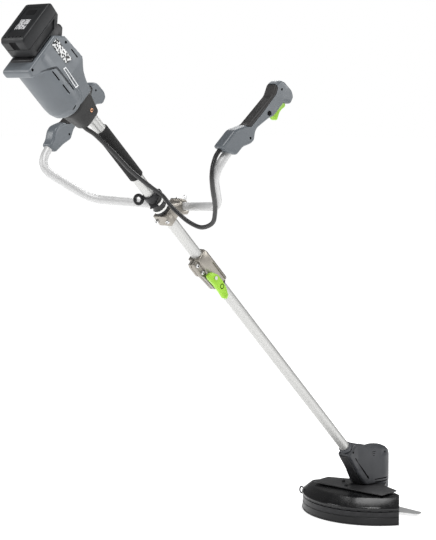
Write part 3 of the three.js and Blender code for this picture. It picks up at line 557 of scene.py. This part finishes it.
# ---------------------------------------------------------------- rear housing
HOUSING_HALF = 41.5
side = [(-463, 24), (-441, 45), (-376, 47), (-366, 42), (-350, 35), (-330, 30), (-303, 27), (-303, -16),
        (-345, -20),
        (-417, -20), (-441, -70), (-445, -79), (-459, -79), (-463, -75)]
plan = [(-470, HOUSING_HALF), (-376, HOUSING_HALF), (-364, 37.5), (-350, 32), (-330, 28.5), (-303, 26)]
plan = plan + [(x, -y) for x, y in reversed(plan)]
body_block = make("housing_body", slab(side, -45, 45), SHAFT, "housing")
boolean(body_block, [cutter(slab(plan, -95, 95, "Z"), SHAFT, "housing")], "INTERSECT")
mod = body_block.modifiers.new("edge", "BEVEL")
mod.width = 0.0055
mod.segments = 3
mod.angle_limit = D(28)
bake(body_block)
drum = [(0, -455), (42.6, -455), (42.6, -342), (41, -326), (35, -312), (25, -304), (0, -302)]
boolean(body_block, [cutter(moved(turned(drum, 96), z=-29), SHAFT, "housing")], "UNION")
soften(body_block, 0.0015, 5)
# Slots, screw holes and vents below are cut with the near-black recess material: painted shade inside them.
tools = []
# The side grooves are cut with the darker groove grey: painted shade along the groove line.
groove = [(-463, -50, -92), (-440, -44, -57), (-419, -42, -24), (-410, -42, -19), (-385, -42, -18.5),
          (-350, -39, -19), (-338, -36, -24),
          (-326, -37, -34), (-318, -36, -46)]
for y in (1, -1):
    line = [Vector((x, y * abs(v), z)) for x, v, z in groove]
    tools.append(cutter(swept(curve_points(line, 60), 2.5, 12), SHAFT, "groove"))
    for s, n, length in ((-405, -33, 26), (-367, -33, 26)):
        tools.append(cutter(bevelled(block(s - length / 2, s + length / 2, y * HOUSING_HALF - 5,
                                           y * HOUSING_HALF + 5, n - 1.5, n + 1.5), 0.8, 2), SHAFT, "black_and_recess_shade"))
    tools.append(cutter(bevelled(block(-412, -388, y * HOUSING_HALF - 4, y * HOUSING_HALF + 4, 35, 38), 0.8,
                                 2), SHAFT, "black_and_recess_shade"))
    for s, n, depth in ((-457, -68, 5), (-432, 36, 5), (-389, -60, 10), (-327, -62, 18)):
        tools.append(cutter(moved(pin(3.1, -depth, 8, 24, "Y"), s, y * 40, n), SHAFT, "black_and_recess_shade"))
for k in range(7):
    s = -372 + 5.5 * k
    tools.append(cutter(bevelled(block(s, s + 2.6, -16, 16, 26, 60), 0.6, 2), SHAFT, "black_and_recess_shade"))
boolean(body_block, tools, smooth=40)
finish_piece(body_block, "frame", "grey_plastic", "housing_left", "housing_right")
bezel = slab([(-467, -43), (-467, -50), (-463, -53), (-452, -53), (-452, -43)], -33, 33)
finish_piece(make("battery_bay_sill", bevelled(bezel, 1.6, 3), SHAFT, "black"), "frame", "black_plastic")
cap = slab([(-464.3, 25), (-464.3, 57), (-460, 60), (-451, 60), (-440, 46), (-440, 38)], -30, 30)
finish_piece(make("battery_bay_top", bevelled(cap, 2.2, 3), SHAFT, "black"), "frame", "black_plastic")
plate = slab([(-455, 23.5), (-397, 22.5), (-402, 4.5), (-456, 4.5)], -43.0, -41.2)
finish_piece(make("rating_plate", bevelled(plate, 0.4, 2), SHAFT, "rating"), "frame", "black_plastic")
rim = make("label_outline", slab([(-398.5, -1), (-347, -4), (-349, -12.5), (-401, -8.5)], -42.5, -41.0),
           SHAFT, "frame_line")
boolean(rim, [cutter(slab([(-396.2, -2.6), (-349.4, -5.4), (-350.8, -11), (-398.4, -7.2)], -44, -38), SHAFT,
                     "frame_line")])
finish_piece(rim, "frame", "white_nylon")
for i, (s, y, n) in enumerate(((-457, -37.5, -68), (-432, -37.5, 36), (-389, -19.5, -60),
                               (-327, -10.5, -62))):
    screw(f"housing_screw_{i + 1}", at(SHAFT, s, y + 1.6, n), 2.6, 1.2, "frame", "black", "black_plastic")

# ---------------------------------------------------------------- neck boot
boot = loft([(-322, 0, -8, 24, 34, 3), (-304, 0, -9.5, 25.5, 38, 3), (-300, 0, -10, 26.6, 39.5, 3),
             (-296, 0, -10, 25.6, 38, 3.2),
             (-270, 0, -9.5, 21.5, 31.5, 3.4), (-255, 0, -9, 19.4, 28.3, 3.4),
             (-252.4, 0, -9, 18.2, 27, 3.4)], 72)
boot = make("neck_boot_skin", boot, SHAFT, "rubber", 50)
# The screw well and the tube bore take the near-black recess material: painted shade inside them.
well = moved(pin(5.4, -3.2, 9, 32, "Y"), -272, -22, -2)
boolean(boot, [cutter(well, SHAFT, "black_and_recess_shade"), cutter(pin(TUBE_HOLE, -262, -240, 64), SHAFT, "black_and_recess_shade")],
        smooth=50)
finish_piece(boot, "frame", "black_rubber", "neck_boot")
screw("boot_screw_head", at(SHAFT, -272, -20.2, -2), 4.4, 2.6, "frame", "copper", "copper_screw")
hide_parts("boot_screw")

# ---------------------------------------------------------------- battery
outline = [(-514, -34), (-507, -41.5), (-466, -41.5), (-465, -38), (-465, 47), (-481, 67), (-509, 69.5),
           (-514, 63)]
pack = make("battery_pack", bevelled(slab(outline, -36, 36), 4.2, 4, 20), SHAFT, "battery")
inner = [(-512.6, -33), (-506.4, -40.1), (-466, -40.1), (-466, 46.6), (-481.6, 65.6), (-508.6, 68.1),
         (-512.6, 62.4)]
# The seam, vent holes and slot are cut with the near-black recess material: a dark seam line, and painted
# shade inside the holes and slot.
seam = cutter(block(-487.4, -486.5, -60, 60, -80, 100), SHAFT, "black_and_recess_shade")
boolean(seam, [cutter(slab(inner, -34.8, 34.8), SHAFT, "black_and_recess_shade")])
tools = [seam]
tools.append(cutter(bevelled(block(-520, -512.8, -23, 23, -20, 54), 0.5, 2), SHAFT, "battery"))
for k in range(5):
    tools.append(cutter(moved(pin(1.6, -6, 4, 20), -513, -23 + 11.5 * k, -31), SHAFT, "black_and_recess_shade"))
for y in (1, -1):
    tools.append(cutter(bevelled(slab([(-483, -30), (-469, -30), (-469, 36), (-483, 52)], y * 36 - 0.9,
                                      y * 36 + 3), 0.4, 2), SHAFT, "battery"))
tools.append(cutter(bevelled(block(-508, -488, -10, 10, -45, -40.6), 0.4, 2), SHAFT, "black_and_recess_shade"))
boolean(pack, tools, smooth=40)
finish_piece(pack, "battery", "charcoal_plastic", "battery_cover", "battery_base")
tongue = slab([(-465.2, -18), (-460.2, -18), (-460.2, -24), (-456.3, -24), (-456.3, 24), (-460.2, 24),
               (-460.2, 18), (-465.2, 18)], -40, 46, "Z")
finish_piece(make("battery_tongue", bevelled(tongue, 0.4, 2), SHAFT, "battery"), "battery",
             "charcoal_plastic")
finish_piece(make("battery_label", bevelled(block(-513.1, -512.5, -15, 15, -8, 20), 0.2, 2), SHAFT, "label"),
             "battery", "charcoal_plastic")
finish_piece(make("battery_indicator", bevelled(block(-513.4, -512.5, -13, 13, 34, 47), 0.3, 2), SHAFT,
                  "black_and_recess_shade"), "battery", "charcoal_plastic")
refine("battery_latch", "black", "battery_latch", "charcoal_plastic", 1.0)

# ---------------------------------------------------------------- harness clamp and eye
EYE_OUT = 29
EYE_DOWN = 14
EYE_TWIST = D(45)
CLAMP_BORE = 13.3
turn = Matrix.Rotation(-math.atan2(EYE_DOWN, EYE_OUT), 4, "X")
reach = math.hypot(EYE_OUT, EYE_DOWN)
collar = turned([(CLAMP_BORE, -7), (17.2, -7), (18, -6.2), (18, 6.2), (17.2, 7), (CLAMP_BORE, 7)], 64,
                closed=True)
clamp = make("harness_clamp_body", moved(collar, turn=turn), SHAFT, "black")
twist = Matrix.Rotation(-EYE_TWIST, 4, "Y")
loop = moved(moved(turned([(0, -2.6), (8.6, -3.2), (11.6, -2.8), (13.2, -1), (13.2, 1), (11.6, 2.8),
                           (8.6, 3.2), (0, 2.6)], 48), y=reach), turn=twist)
arm = moved(bevelled(slab([(14, -12), (23, -8.6), (29, -11), (29, 11), (23, 8.6), (14, 12)], -2.6, 2.6, "Z"),
                     0.9, 2),
            turn=twist @ Matrix.Rotation(math.pi / 2, 4, "Y"))
ears = bevelled(block(-7, 7, -25, -15.5, -6, 6), 1.8, 3)
parts = [cutter(moved(p, turn=turn), SHAFT, "black") for p in (loop, arm, ears)]
boolean(clamp, parts, "UNION")
eye = moved(moved(pin(6.2, -9, 9, 40), y=reach), turn=twist)
slit = block(-20, 20, -40, -14, -1.1, 1.1)
bore = pin(CLAMP_BORE, -20, 20, 64)
boolean(clamp, [cutter(moved(p, turn=turn), SHAFT, "black") for p in (eye, slit, bore)])
finish_piece(clamp, "frame", "black_plastic", "harness_clamp")
screw("harness_clamp_screw", SHAFT @ turn @ Matrix.Translation((0, -21.5, 5.8)), 3.4, 2.6, "frame",
      along="Z", out=1)

# ---------------------------------------------------------------- handlebar clamp
for node in ("handle_clamp_upper", "handle_clamp_lower", "handle_clamp_cap"):
    refine(node, "cast", "frame", "cast_alloy", 2.2)
for i, y in enumerate((-16.6, 16.6)):
    screw(f"clamp_bolt_head_{i + 1}", at(SHAFT, 67, y, -18), 4.6, 4.6, "frame", along="Z", out=-1)
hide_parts("clamp_bolt")
screw("cap_screw_head", at(SHAFT, 68.4, 0, 48.9), 4.4, 4.2, "frame", along="Z", out=1)
knob_turn = Matrix.Translation((97.6, 0, 41.6))
stem = pin(2.5, -18, 22, 24, "Z")
hub = turned([(0, 7.4), (5.2, 7.4), (5.6, 8), (5.2, 15.4), (3.6, 17), (0, 17)], 40, "Z")
wing_profile = [(2, 12), (8, 13), (15, 19), (18.5, 26), (17.5, 31), (13, 31.5), (8, 26), (2, 18)]
wings = [bevelled(slab([(side * x, z) for x, z in wing_profile], -1.9, 1.9), 1.0, 2) for side in (1, -1)]
knob = make("wing_knob_body", joined(stem, hub, *wings), SHAFT @ knob_turn, "steel", 40)
finish_piece(knob, "wing_knob", "steel", "wing_knob")

# ---------------------------------------------------------------- handlebar
def rounded_corner(a, corner, b, size, steps=14):
    p = corner + (a - corner).normalized() * size
    q = corner + (b - corner).normalized() * size
    return [p * (1 - t) ** 2 + corner * 2 * t * (1 - t) + q * t * t
            for t in (k / steps for k in range(steps + 1))]


BAR_R = 9.5
BAR_RINGS = 170
bar_corners = []
for name, side_sign in (("left", 1), ("right", -1)):
    inner = [Vector((0, side_sign * 38, 0)), Vector((-85.5, side_sign * 198, 12)),
             Vector((-176.5, side_sign * 268, 84.6))]
    ends = [BARS.inverted() @ (GRIPS[name] @ Vector((x, 0, 0))) for x in (-15, 48)]
    half = inner + ends
    bar_corners = list(reversed(half)) if side_sign > 0 else bar_corners + half
sizes = [12, 34, 34, 15, 15, 34, 34, 12]
fine = [bar_corners[0]]
for i in range(1, len(bar_corners) - 1):
    fine += rounded_corner(bar_corners[i - 1], bar_corners[i], bar_corners[i + 1], sizes[i - 1])
fine.append(bar_corners[-1])
bar = make("handlebar_skin", swept(spaced(fine, BAR_RINGS), BAR_R, 36), BARS, "bar", 60)
finish_piece(bar, "bars", "silver_tube", "handlebar")

# ---------------------------------------------------------------- grips
HEAD_END = [(162, 6), (187, 16), (202, 13), (210, 3), (214, -28), (208, -42), (190, -46)]
OUTLINES = {
    "left": [(-8, 11), (9, 14), (28, 25), (42, 26), (62, 16), (72, 10), *HEAD_END, (176, -33), (140, -24),
             (98, -17), (74, -19),
             (54, -28), (27, -19), (-4, -14)],
    "right": [(-15, 30), (36, 29), (60, 16), (72, 10), *HEAD_END, (181, -30), (138, -30), (124, -23),
              (86, -14), (76, -16),
              (62, -27), (50, -25), (30, -14), (5, -13.5), (-9, 8)],
}
GRIP_SCREWS = ((56, -14), (192, -4))
PAD = [(64, 40), (66, 9), (74, 1), (120, -1), (174, 0), (186, 6), (194, 40)]
for name, place in GRIPS.items():
    points = OUTLINES[name]
    shell = make(f"{name}_grip_shells", bevelled(slab(points, -14.5, 14.5), 5.5, 4, 10), place, "grip")
    soften(shell, 0.0014, 7)
    # The pad pocket, screw holes, trigger slot and button pocket are cut with the near-black recess
    # material: painted shade inside them.
    tools = [cutter(slab(PAD, -40, 40), place, "black_and_recess_shade")]
    for g, z in GRIP_SCREWS:
        tools.append(cutter(moved(pin(2.8, -5, 8, 24, "Y"), g, -13, z), place, "black_and_recess_shade"))
        tools.append(cutter(moved(pin(2.8, -8, 5, 24, "Y"), g, 13, z), place, "black_and_recess_shade"))
    if name == "right":
        tools.append(cutter(block(136, 184, -8.6, 8.6, -60, -22), place, "black_and_recess_shade"))
        tools.append(cutter(moved(pin(5.6, -8, 9, 32, "Y"), 131, -14, -15), place, "black_and_recess_shade"))
    boolean(shell, tools, smooth=38)
    finish_piece(shell, "bars", "grey_plastic", f"{name}_grip_left_shell", f"{name}_grip_right_shell")
    pad = make(f"{name}_palm_pad_skin", bevelled(slab(points, -14.9, 14.9), 5.5, 4, 10), place, "pad")
    inside = [(65, 40), (67, 9.6), (74.4, 1.4), (120, -0.6), (173.6, 0.4), (185.4, 6.4), (193, 40)]
    boolean(pad, [cutter(slab(inside, -40, 40), place, "pad")], "INTERSECT")
    soften(pad, 0.0012, 5)
    finish_piece(pad, "bars", "black_rubber", f"{name}_palm_pad")
    for i, (g, z) in enumerate(GRIP_SCREWS):
        screw(f"{name}_grip_screw_{i + 1}", at(place, g, -9.6, z), 2.4, 1.4, "bars")
place = GRIPS["right"]
trigger_shape = [(140, -23.5), (181, -19.5), (183, -30), (184, -40), (179, -43), (170, -40), (160, -40),
                 (150, -44), (143, -47), (139.5, -43)]
finish_piece(make("trigger_lever", bevelled(slab(trigger_shape, -7.8, 7.8), 2.6, 3, 12), place, "green"),
             "trigger", "green_plastic", "trigger")
coil = [Vector((149 + 2.5 * math.cos(k / 4), 2.5 * math.sin(k / 4),
                -18.9 + 4.4 * k / 100)) for k in range(101)]
coil = finish_piece(make("trigger_spring_coil", swept(coil, 0.35, 8), place, "steel", 60), "bars", "steel",
                    "trigger_spring")
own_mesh(coil)
button = moved(turned([(0, -6), (5, -6), (5, -1.2), (4.2, -0.2), (2.8, 0.2), (0, 0)], 32, "Y"),
               turn=Matrix.Rotation(math.pi, 4, "Z"))
finish_piece(make("lock_button_cap", button, at(place, 131, -16.8, -15), "black_and_recess_shade", 40), "lock_button",
             "black_plastic", "lock_button")

# ---------------------------------------------------------------- coupler
refine("coupler_body", "cast", "frame", "cast_alloy", 1.2)
for i, s in enumerate((215, 240)):
    screw(f"coupler_bolt_head_{i + 1}", at(SHAFT, s, -9.2, -24), 4.6, 4.2, "frame")
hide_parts("coupler_bolt")
LEVER_PIVOT = (267, -15)
lever_shape = [(246, -20), (252, -11), (268, -4), (290, -3), (312, -6), (330, -15), (333, -24), (324, -30),
               (304, -28), (275, -28), (254, -30), (246, -27)]
lever = make("release_lever_body", bevelled(slab(lever_shape, -26, -16.2), 2.2, 3, 12), SHAFT, "green")
tools = [cutter(swept([Vector((312 + 5 * k, -26.4, -27)), Vector((314 + 5 * k, -26.4, -10))], 0.9, 10),
                SHAFT, "green") for k in range(3)]
tools.append(cutter(moved(pin(2.8, -20, 20, 24, "Y"), LEVER_PIVOT[0], -21, LEVER_PIVOT[1]), SHAFT, "green"))
# The ring recess takes the near-black recess material: painted shade inside it.
tools.append(cutter(moved(turned([(4.4, -1.2), (6.4, -1.2), (6.4, 3), (4.4, 3)], 40, "Y", closed=True), 298,
                          -26, -14.5), SHAFT, "black_and_recess_shade"))
boolean(lever, tools)
finish_piece(lever, "release_lever", "green_plastic", "release_lever")
screw("lever_pin_head", at(SHAFT, LEVER_PIVOT[0], -26.2, LEVER_PIVOT[1]), 4.4, 2.6, "frame")
finish_piece(make("coupler_lip", turned([(13.2, 304), (17, 304), (17.6, 305), (17.6, 307), (16.6, 308),
                                         (13.2, 308)], 64, closed=True), SHAFT, "black", 40),
             "frame", "black_plastic")

# ---------------------------------------------------------------- cutting head
neck_points = [(-131, 163), (-100, 187), (-80, 185), (-52, 172), (-22, 170), (14, 160), (14, 74), (-62, 74),
               (-68, 81)]
head = make("head_shell", bevelled(slab(neck_points, -19.5, 19.5), 5, 3, 10), HEAD, "head")
motor = turned([(0, 74), (38.5, 74), (40, 76), (40, 146), (38, 155), (31, 163), (20, 168), (0, 170)], 96,
               "Z")
flank = slab([(-92, 19.5), (-16, 37), (10, 37), (10, -37), (-16, -37), (-92, -19.5)], 76, 190, "Z")
flank = boolean(cutter(flank, HEAD, "head"), [cutter(slab(neck_points, -60, 60), HEAD, "head")], "INTERSECT")
boolean(head, [cutter(motor, HEAD, "head"), flank], "UNION")
soften(head, 0.0016, 6)
neck_axis = HEAD.inverted() @ SHAFT
# The neck bore, vent slots, screw holes and side groove are cut with the near-black recess material: painted
# shade inside them.
tools = []
bore = pin(TUBE_HOLE, 940, 1004, 64)
bmesh.ops.transform(bore, matrix=neck_axis, verts=bore.verts)
tools.append(cutter(bore, HEAD, "black_and_recess_shade"))
for y in (-1, 1):
    for k in range(2):
        tools.append(cutter(bevelled(block(-36, 8, y * 46 - 14, y * 46 + 14, 78 + 7.5 * k, 80.6 + 7.5 * k),
                                     0.6, 2), HEAD, "black_and_recess_shade"))
    for k in range(3):
        tools.append(cutter(bevelled(block(-46 + k, -34 - 2 * k, y * 36 - 12, y * 36 + 12, 160 - 5 * k,
                                           161.4 - 5 * k), 0.4, 2), HEAD, "black_and_recess_shade"))
    for x, z, depth in ((-60, 97, 12), (-2, 156, 5), (-112, 168, 8), (24, 148, 5)):
        tools.append(cutter(moved(pin(3, -depth, 12, 24, "Y"),
                                        x, y * (22 if x < -50 else 39 if x < 0 else 34), z,
                                        turn=Matrix.Rotation(0 if y > 0 else math.pi, 4, "Z")), HEAD,
                                        "black_and_recess_shade"))
    tools.append(cutter(swept([Vector((-103, y * 20, 152)), Vector((-56, y * 26.6, 92))], 2.0, 10), HEAD,
                        "black_and_recess_shade"))
boolean(head, tools, smooth=40)
finish_piece(head, "lower", "head_plastic", "head_housing_left", "head_housing_right")
ring = turned([(34, 59), (38.4, 59), (39.6, 60), (39.6, 76), (34, 76)], 96, "Z", closed=True)
finish_piece(make("motor_base_ring", ring, HEAD, "head", 40), "lower", "head_plastic")
under = slab([(-131, 158), (-127, 161), (-64, 80), (-60, 74), (-70, 74), (-72, 80)], -13, 13)
finish_piece(make("neck_underside", bevelled(under, 1.5, 2), HEAD, "black"), "lower", "black_plastic")
collar = turned([(TUBE_HOLE, 971), (15.6, 971), (16.2, 971.8), (16.2, 980), (TUBE_HOLE, 980)], 64,
                closed=True)
finish_piece(make("neck_collar", collar, SHAFT, "head", 40), "lower", "head_plastic")
for i, (x, y, z) in enumerate(((-60, -18, 97), (-2, -36, 156))):
    screw(f"head_screw_{i + 1}", at(HEAD, x, y, z), 2.4, 1.2, "lower", "black", "black_plastic")
for node in ("upper_flange", "lower_flange", "blade_nut", "spindle"):
    refine(node, "steel", "rotor", "steel", 0.4)

# ---------------------------------------------------------------- blade, three teeth in flat steel
blade_outline = []
TEETH = 3
FIRST_TOOTH = -85
for i in range(TEETH):
    for r, deg in ((142, -7), (146, -4), (146, 0), (141, 4), (70, 20), (43, 45), (47, 76), (70, 94)):
        a = D(FIRST_TOOTH + 360 / TEETH * i + deg)
        blade_outline.append((r * math.cos(a), r * math.sin(a)))
blade = make("blade_body", bevelled(slab(blade_outline, 6, 7.8, "Z"), 0.75, 2, 50), HEAD, "blade", 20)
hole = pin(12.7, 0, 20, 48, "Z")
boolean(blade, [cutter(hole, HEAD, "blade")], smooth=20)
finish_piece(blade, "rotor", "steel", "blade")

# ---------------------------------------------------------------- guard
WEDGE = [(-38, 34), (-46, 84), (-62, 129), (-102, 158), (-180, 219), (-300, 219)]
WEDGE = WEDGE + [(x, -y) for x, y in reversed(WEDGE)]


def sector(name, profile, material, smooth=35):
    obj = make(name, turned(profile, 160, "Z", closed=True), HEAD, material, smooth)
    return boolean(obj, [cutter(slab(WEDGE, -60, 160, "Z"), HEAD, material)], "INTERSECT", smooth)


dome = [(30, 70), (30, 67), (150, 62.5), (158, 60.5), (181, 44), (181, 40), (187, 40), (187.6, 41),
        (187.6, 44.4), (186.6, 46),
        (184, 48.6), (164, 63.4), (160, 65.4), (154, 66), (120, 67.6), (80, 69.4)]
guard = sector("guard_dome", dome, "gloss")
GUARD_BOLTS = ((-66, 48), (-98, 14))
# The bolt holes are cut with the near-black recess material: painted shade inside them.
tools = [cutter(moved(pin(3, 50, 90, 24, "Z"), x, y), HEAD, "black_and_recess_shade") for x, y in GUARD_BOLTS]
boolean(guard, tools)
finish_piece(guard, "lower", "black_plastic", "guard")
skirt = sector("guard_skirt_band", [(181.6, 0), (186.4, 0), (187, 0.8), (187, 3), (186, 3.6), (185.8, 19),
                                    (184.8, 20), (184.8, 21.4), (185.8, 22.4), (185.2, 34), (182.6, 35),
                                    (182.6, 39.6), (179.6, 39.6), (181, 30)], "skirt")
# The clip notches are cut with the near-black recess material: painted shade in them.
tools = []
TABS = 13
TAB_R = 184.8
TAB_STEP = 8.5
FIRST_TAB = 129
for k in range(TABS):
    a = D(FIRST_TAB + TAB_STEP * k)
    tab = bevelled(block(-5, 5, 0.2, 4, 29, 36.5), 0.4, 1)
    turn = Matrix.Rotation(a + math.pi / 2, 4, "Z")
    tools.append(cutter(moved(tab, TAB_R * math.cos(a), TAB_R * math.sin(a), 0, turn=turn), HEAD, "black_and_recess_shade"))
boolean(skirt, tools)
finish_piece(skirt, "lower", "black_plastic", "guard_skirt")
bead = sector("guard_seam_bead", [(181.5, 37.2), (186.6, 37.2), (186.8, 37.8), (186.8, 39.2), (186.4, 39.8),
                                  (181.5, 39.8)], "skirt")
finish_piece(bead, "lower", "black_plastic")
refine("guard_bracket", "plate", "lower", "bracket_plate", 0.8)
for i, (x, y) in enumerate(GUARD_BOLTS):
    screw(f"guard_bolt_head_{i + 1}", at(HEAD, x, y, 73.8), 4.6, 4, "lower", "black", along="Z", out=1)
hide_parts("guard_bolt")
CLIP_ANGLE = D(130)
clip_path = [Vector((math.cos(CLIP_ANGLE) * r, math.sin(CLIP_ANGLE) * r, z)) for r,
             z in ((184, 52), (189, 55), (192.5, 50), (192.5, 43), (189, 38), (184, 37))]
finish_piece(make("guard_clip", swept(curve_points(clip_path, 30), 1.9, 12), HEAD, "black", 60), "lower",
             "steel")
refine("line_knife", "steel", "lower", "steel", 0.3)

# ---------------------------------------------------------------- floor, light
FLOOR = -0.8516  # the guard rim stands on it
bm = bmesh.new()
bmesh.ops.create_grid(bm, x_segments=2, y_segments=2, size=30)
bmesh.ops.translate(bm, vec=(0, 0, FLOOR), verts=bm.verts)
mesh = bpy.data.meshes.new("floor")
bm.to_mesh(mesh)
bm.free()
floor = bpy.data.objects.new("floor", mesh)
scene.collection.objects.link(floor)
mat, tree, shader = node_material("floor_white")
co = add(tree, "ShaderNodeTexCoord").outputs["Object"]
cloud = add(tree, "ShaderNodeTexNoise", [("Vector", co)], Scale=1.5, Detail=2.0)
tree.links.new(ramp(tree, cloud.outputs["Fac"], [(0.2, 0.90), (0.8, 0.93)]), shader.inputs["Base Color"])
shader.inputs["Roughness"].default_value = 0.9
# Painted light: the floor glows, least near the cutting head, which leaves a painted grey round it, and more
# with distance so that it fades to white.
shader.inputs["Emission Color"].default_value = (1, 1, 1, 1)
place = add(tree, "ShaderNodeMapping", [("Vector", co)])
place.inputs["Location"].default_value = (-0.7, 0, 0.85)
away = add(tree, "ShaderNodeVectorMath", [("Vector", place.outputs["Vector"])], operation="LENGTH")
tree.links.new(ramp(tree, away.outputs["Value"], [(0.25, 0.46), (1.0, 0.86)]),
               shader.inputs["Emission Strength"])
mesh.materials.append(mat)

world = bpy.data.worlds.new("studio")
scene.world = world
world.use_nodes = True
tree = world.node_tree
surface = tree.nodes["Background"]
surface.inputs["Color"].default_value = (1, 1, 1, 1)
surface.inputs["Strength"].default_value = 0.17
backdrop = add(tree, "ShaderNodeBackground", Strength=1.0)
backdrop.inputs["Color"].default_value = (1, 1, 1, 1)
seen = add(tree, "ShaderNodeLightPath").outputs["Is Camera Ray"]
both = tree.nodes.new("ShaderNodeMixShader")
tree.links.new(seen, both.inputs[0])
tree.links.new(surface.outputs[0], both.inputs[1])
tree.links.new(backdrop.outputs[0], both.inputs[2])
tree.links.new(both.outputs[0], tree.nodes["World Output"].inputs["Surface"])


def area(name, location, target, size, power):
    data = bpy.data.lights.new(name, "AREA")
    data.shape = "DISK"
    data.size = size
    data.energy = power
    obj = bpy.data.objects.new(name, data)
    obj.location = location
    obj.rotation_euler = (Vector(target) - Vector(location)).to_track_quat("-Z", "Y").to_euler()
    scene.collection.objects.link(obj)


area("key", (-0.9, -1.2, 2.6), (0.1, 0, -0.2), 1.1, 62)
area("rim", (-2.2, 1.9, 1.2), (0, 0, 0), 1.0, 34)
area("side", (1.9, -1.9, 0.6), (0.3, 0, -0.4), 0.9, 20)
area("top", (1.05, 0.25, 0.9), (0.8, 0, -0.85), 1.1, 16)
scene.view_settings.view_transform = "Standard"
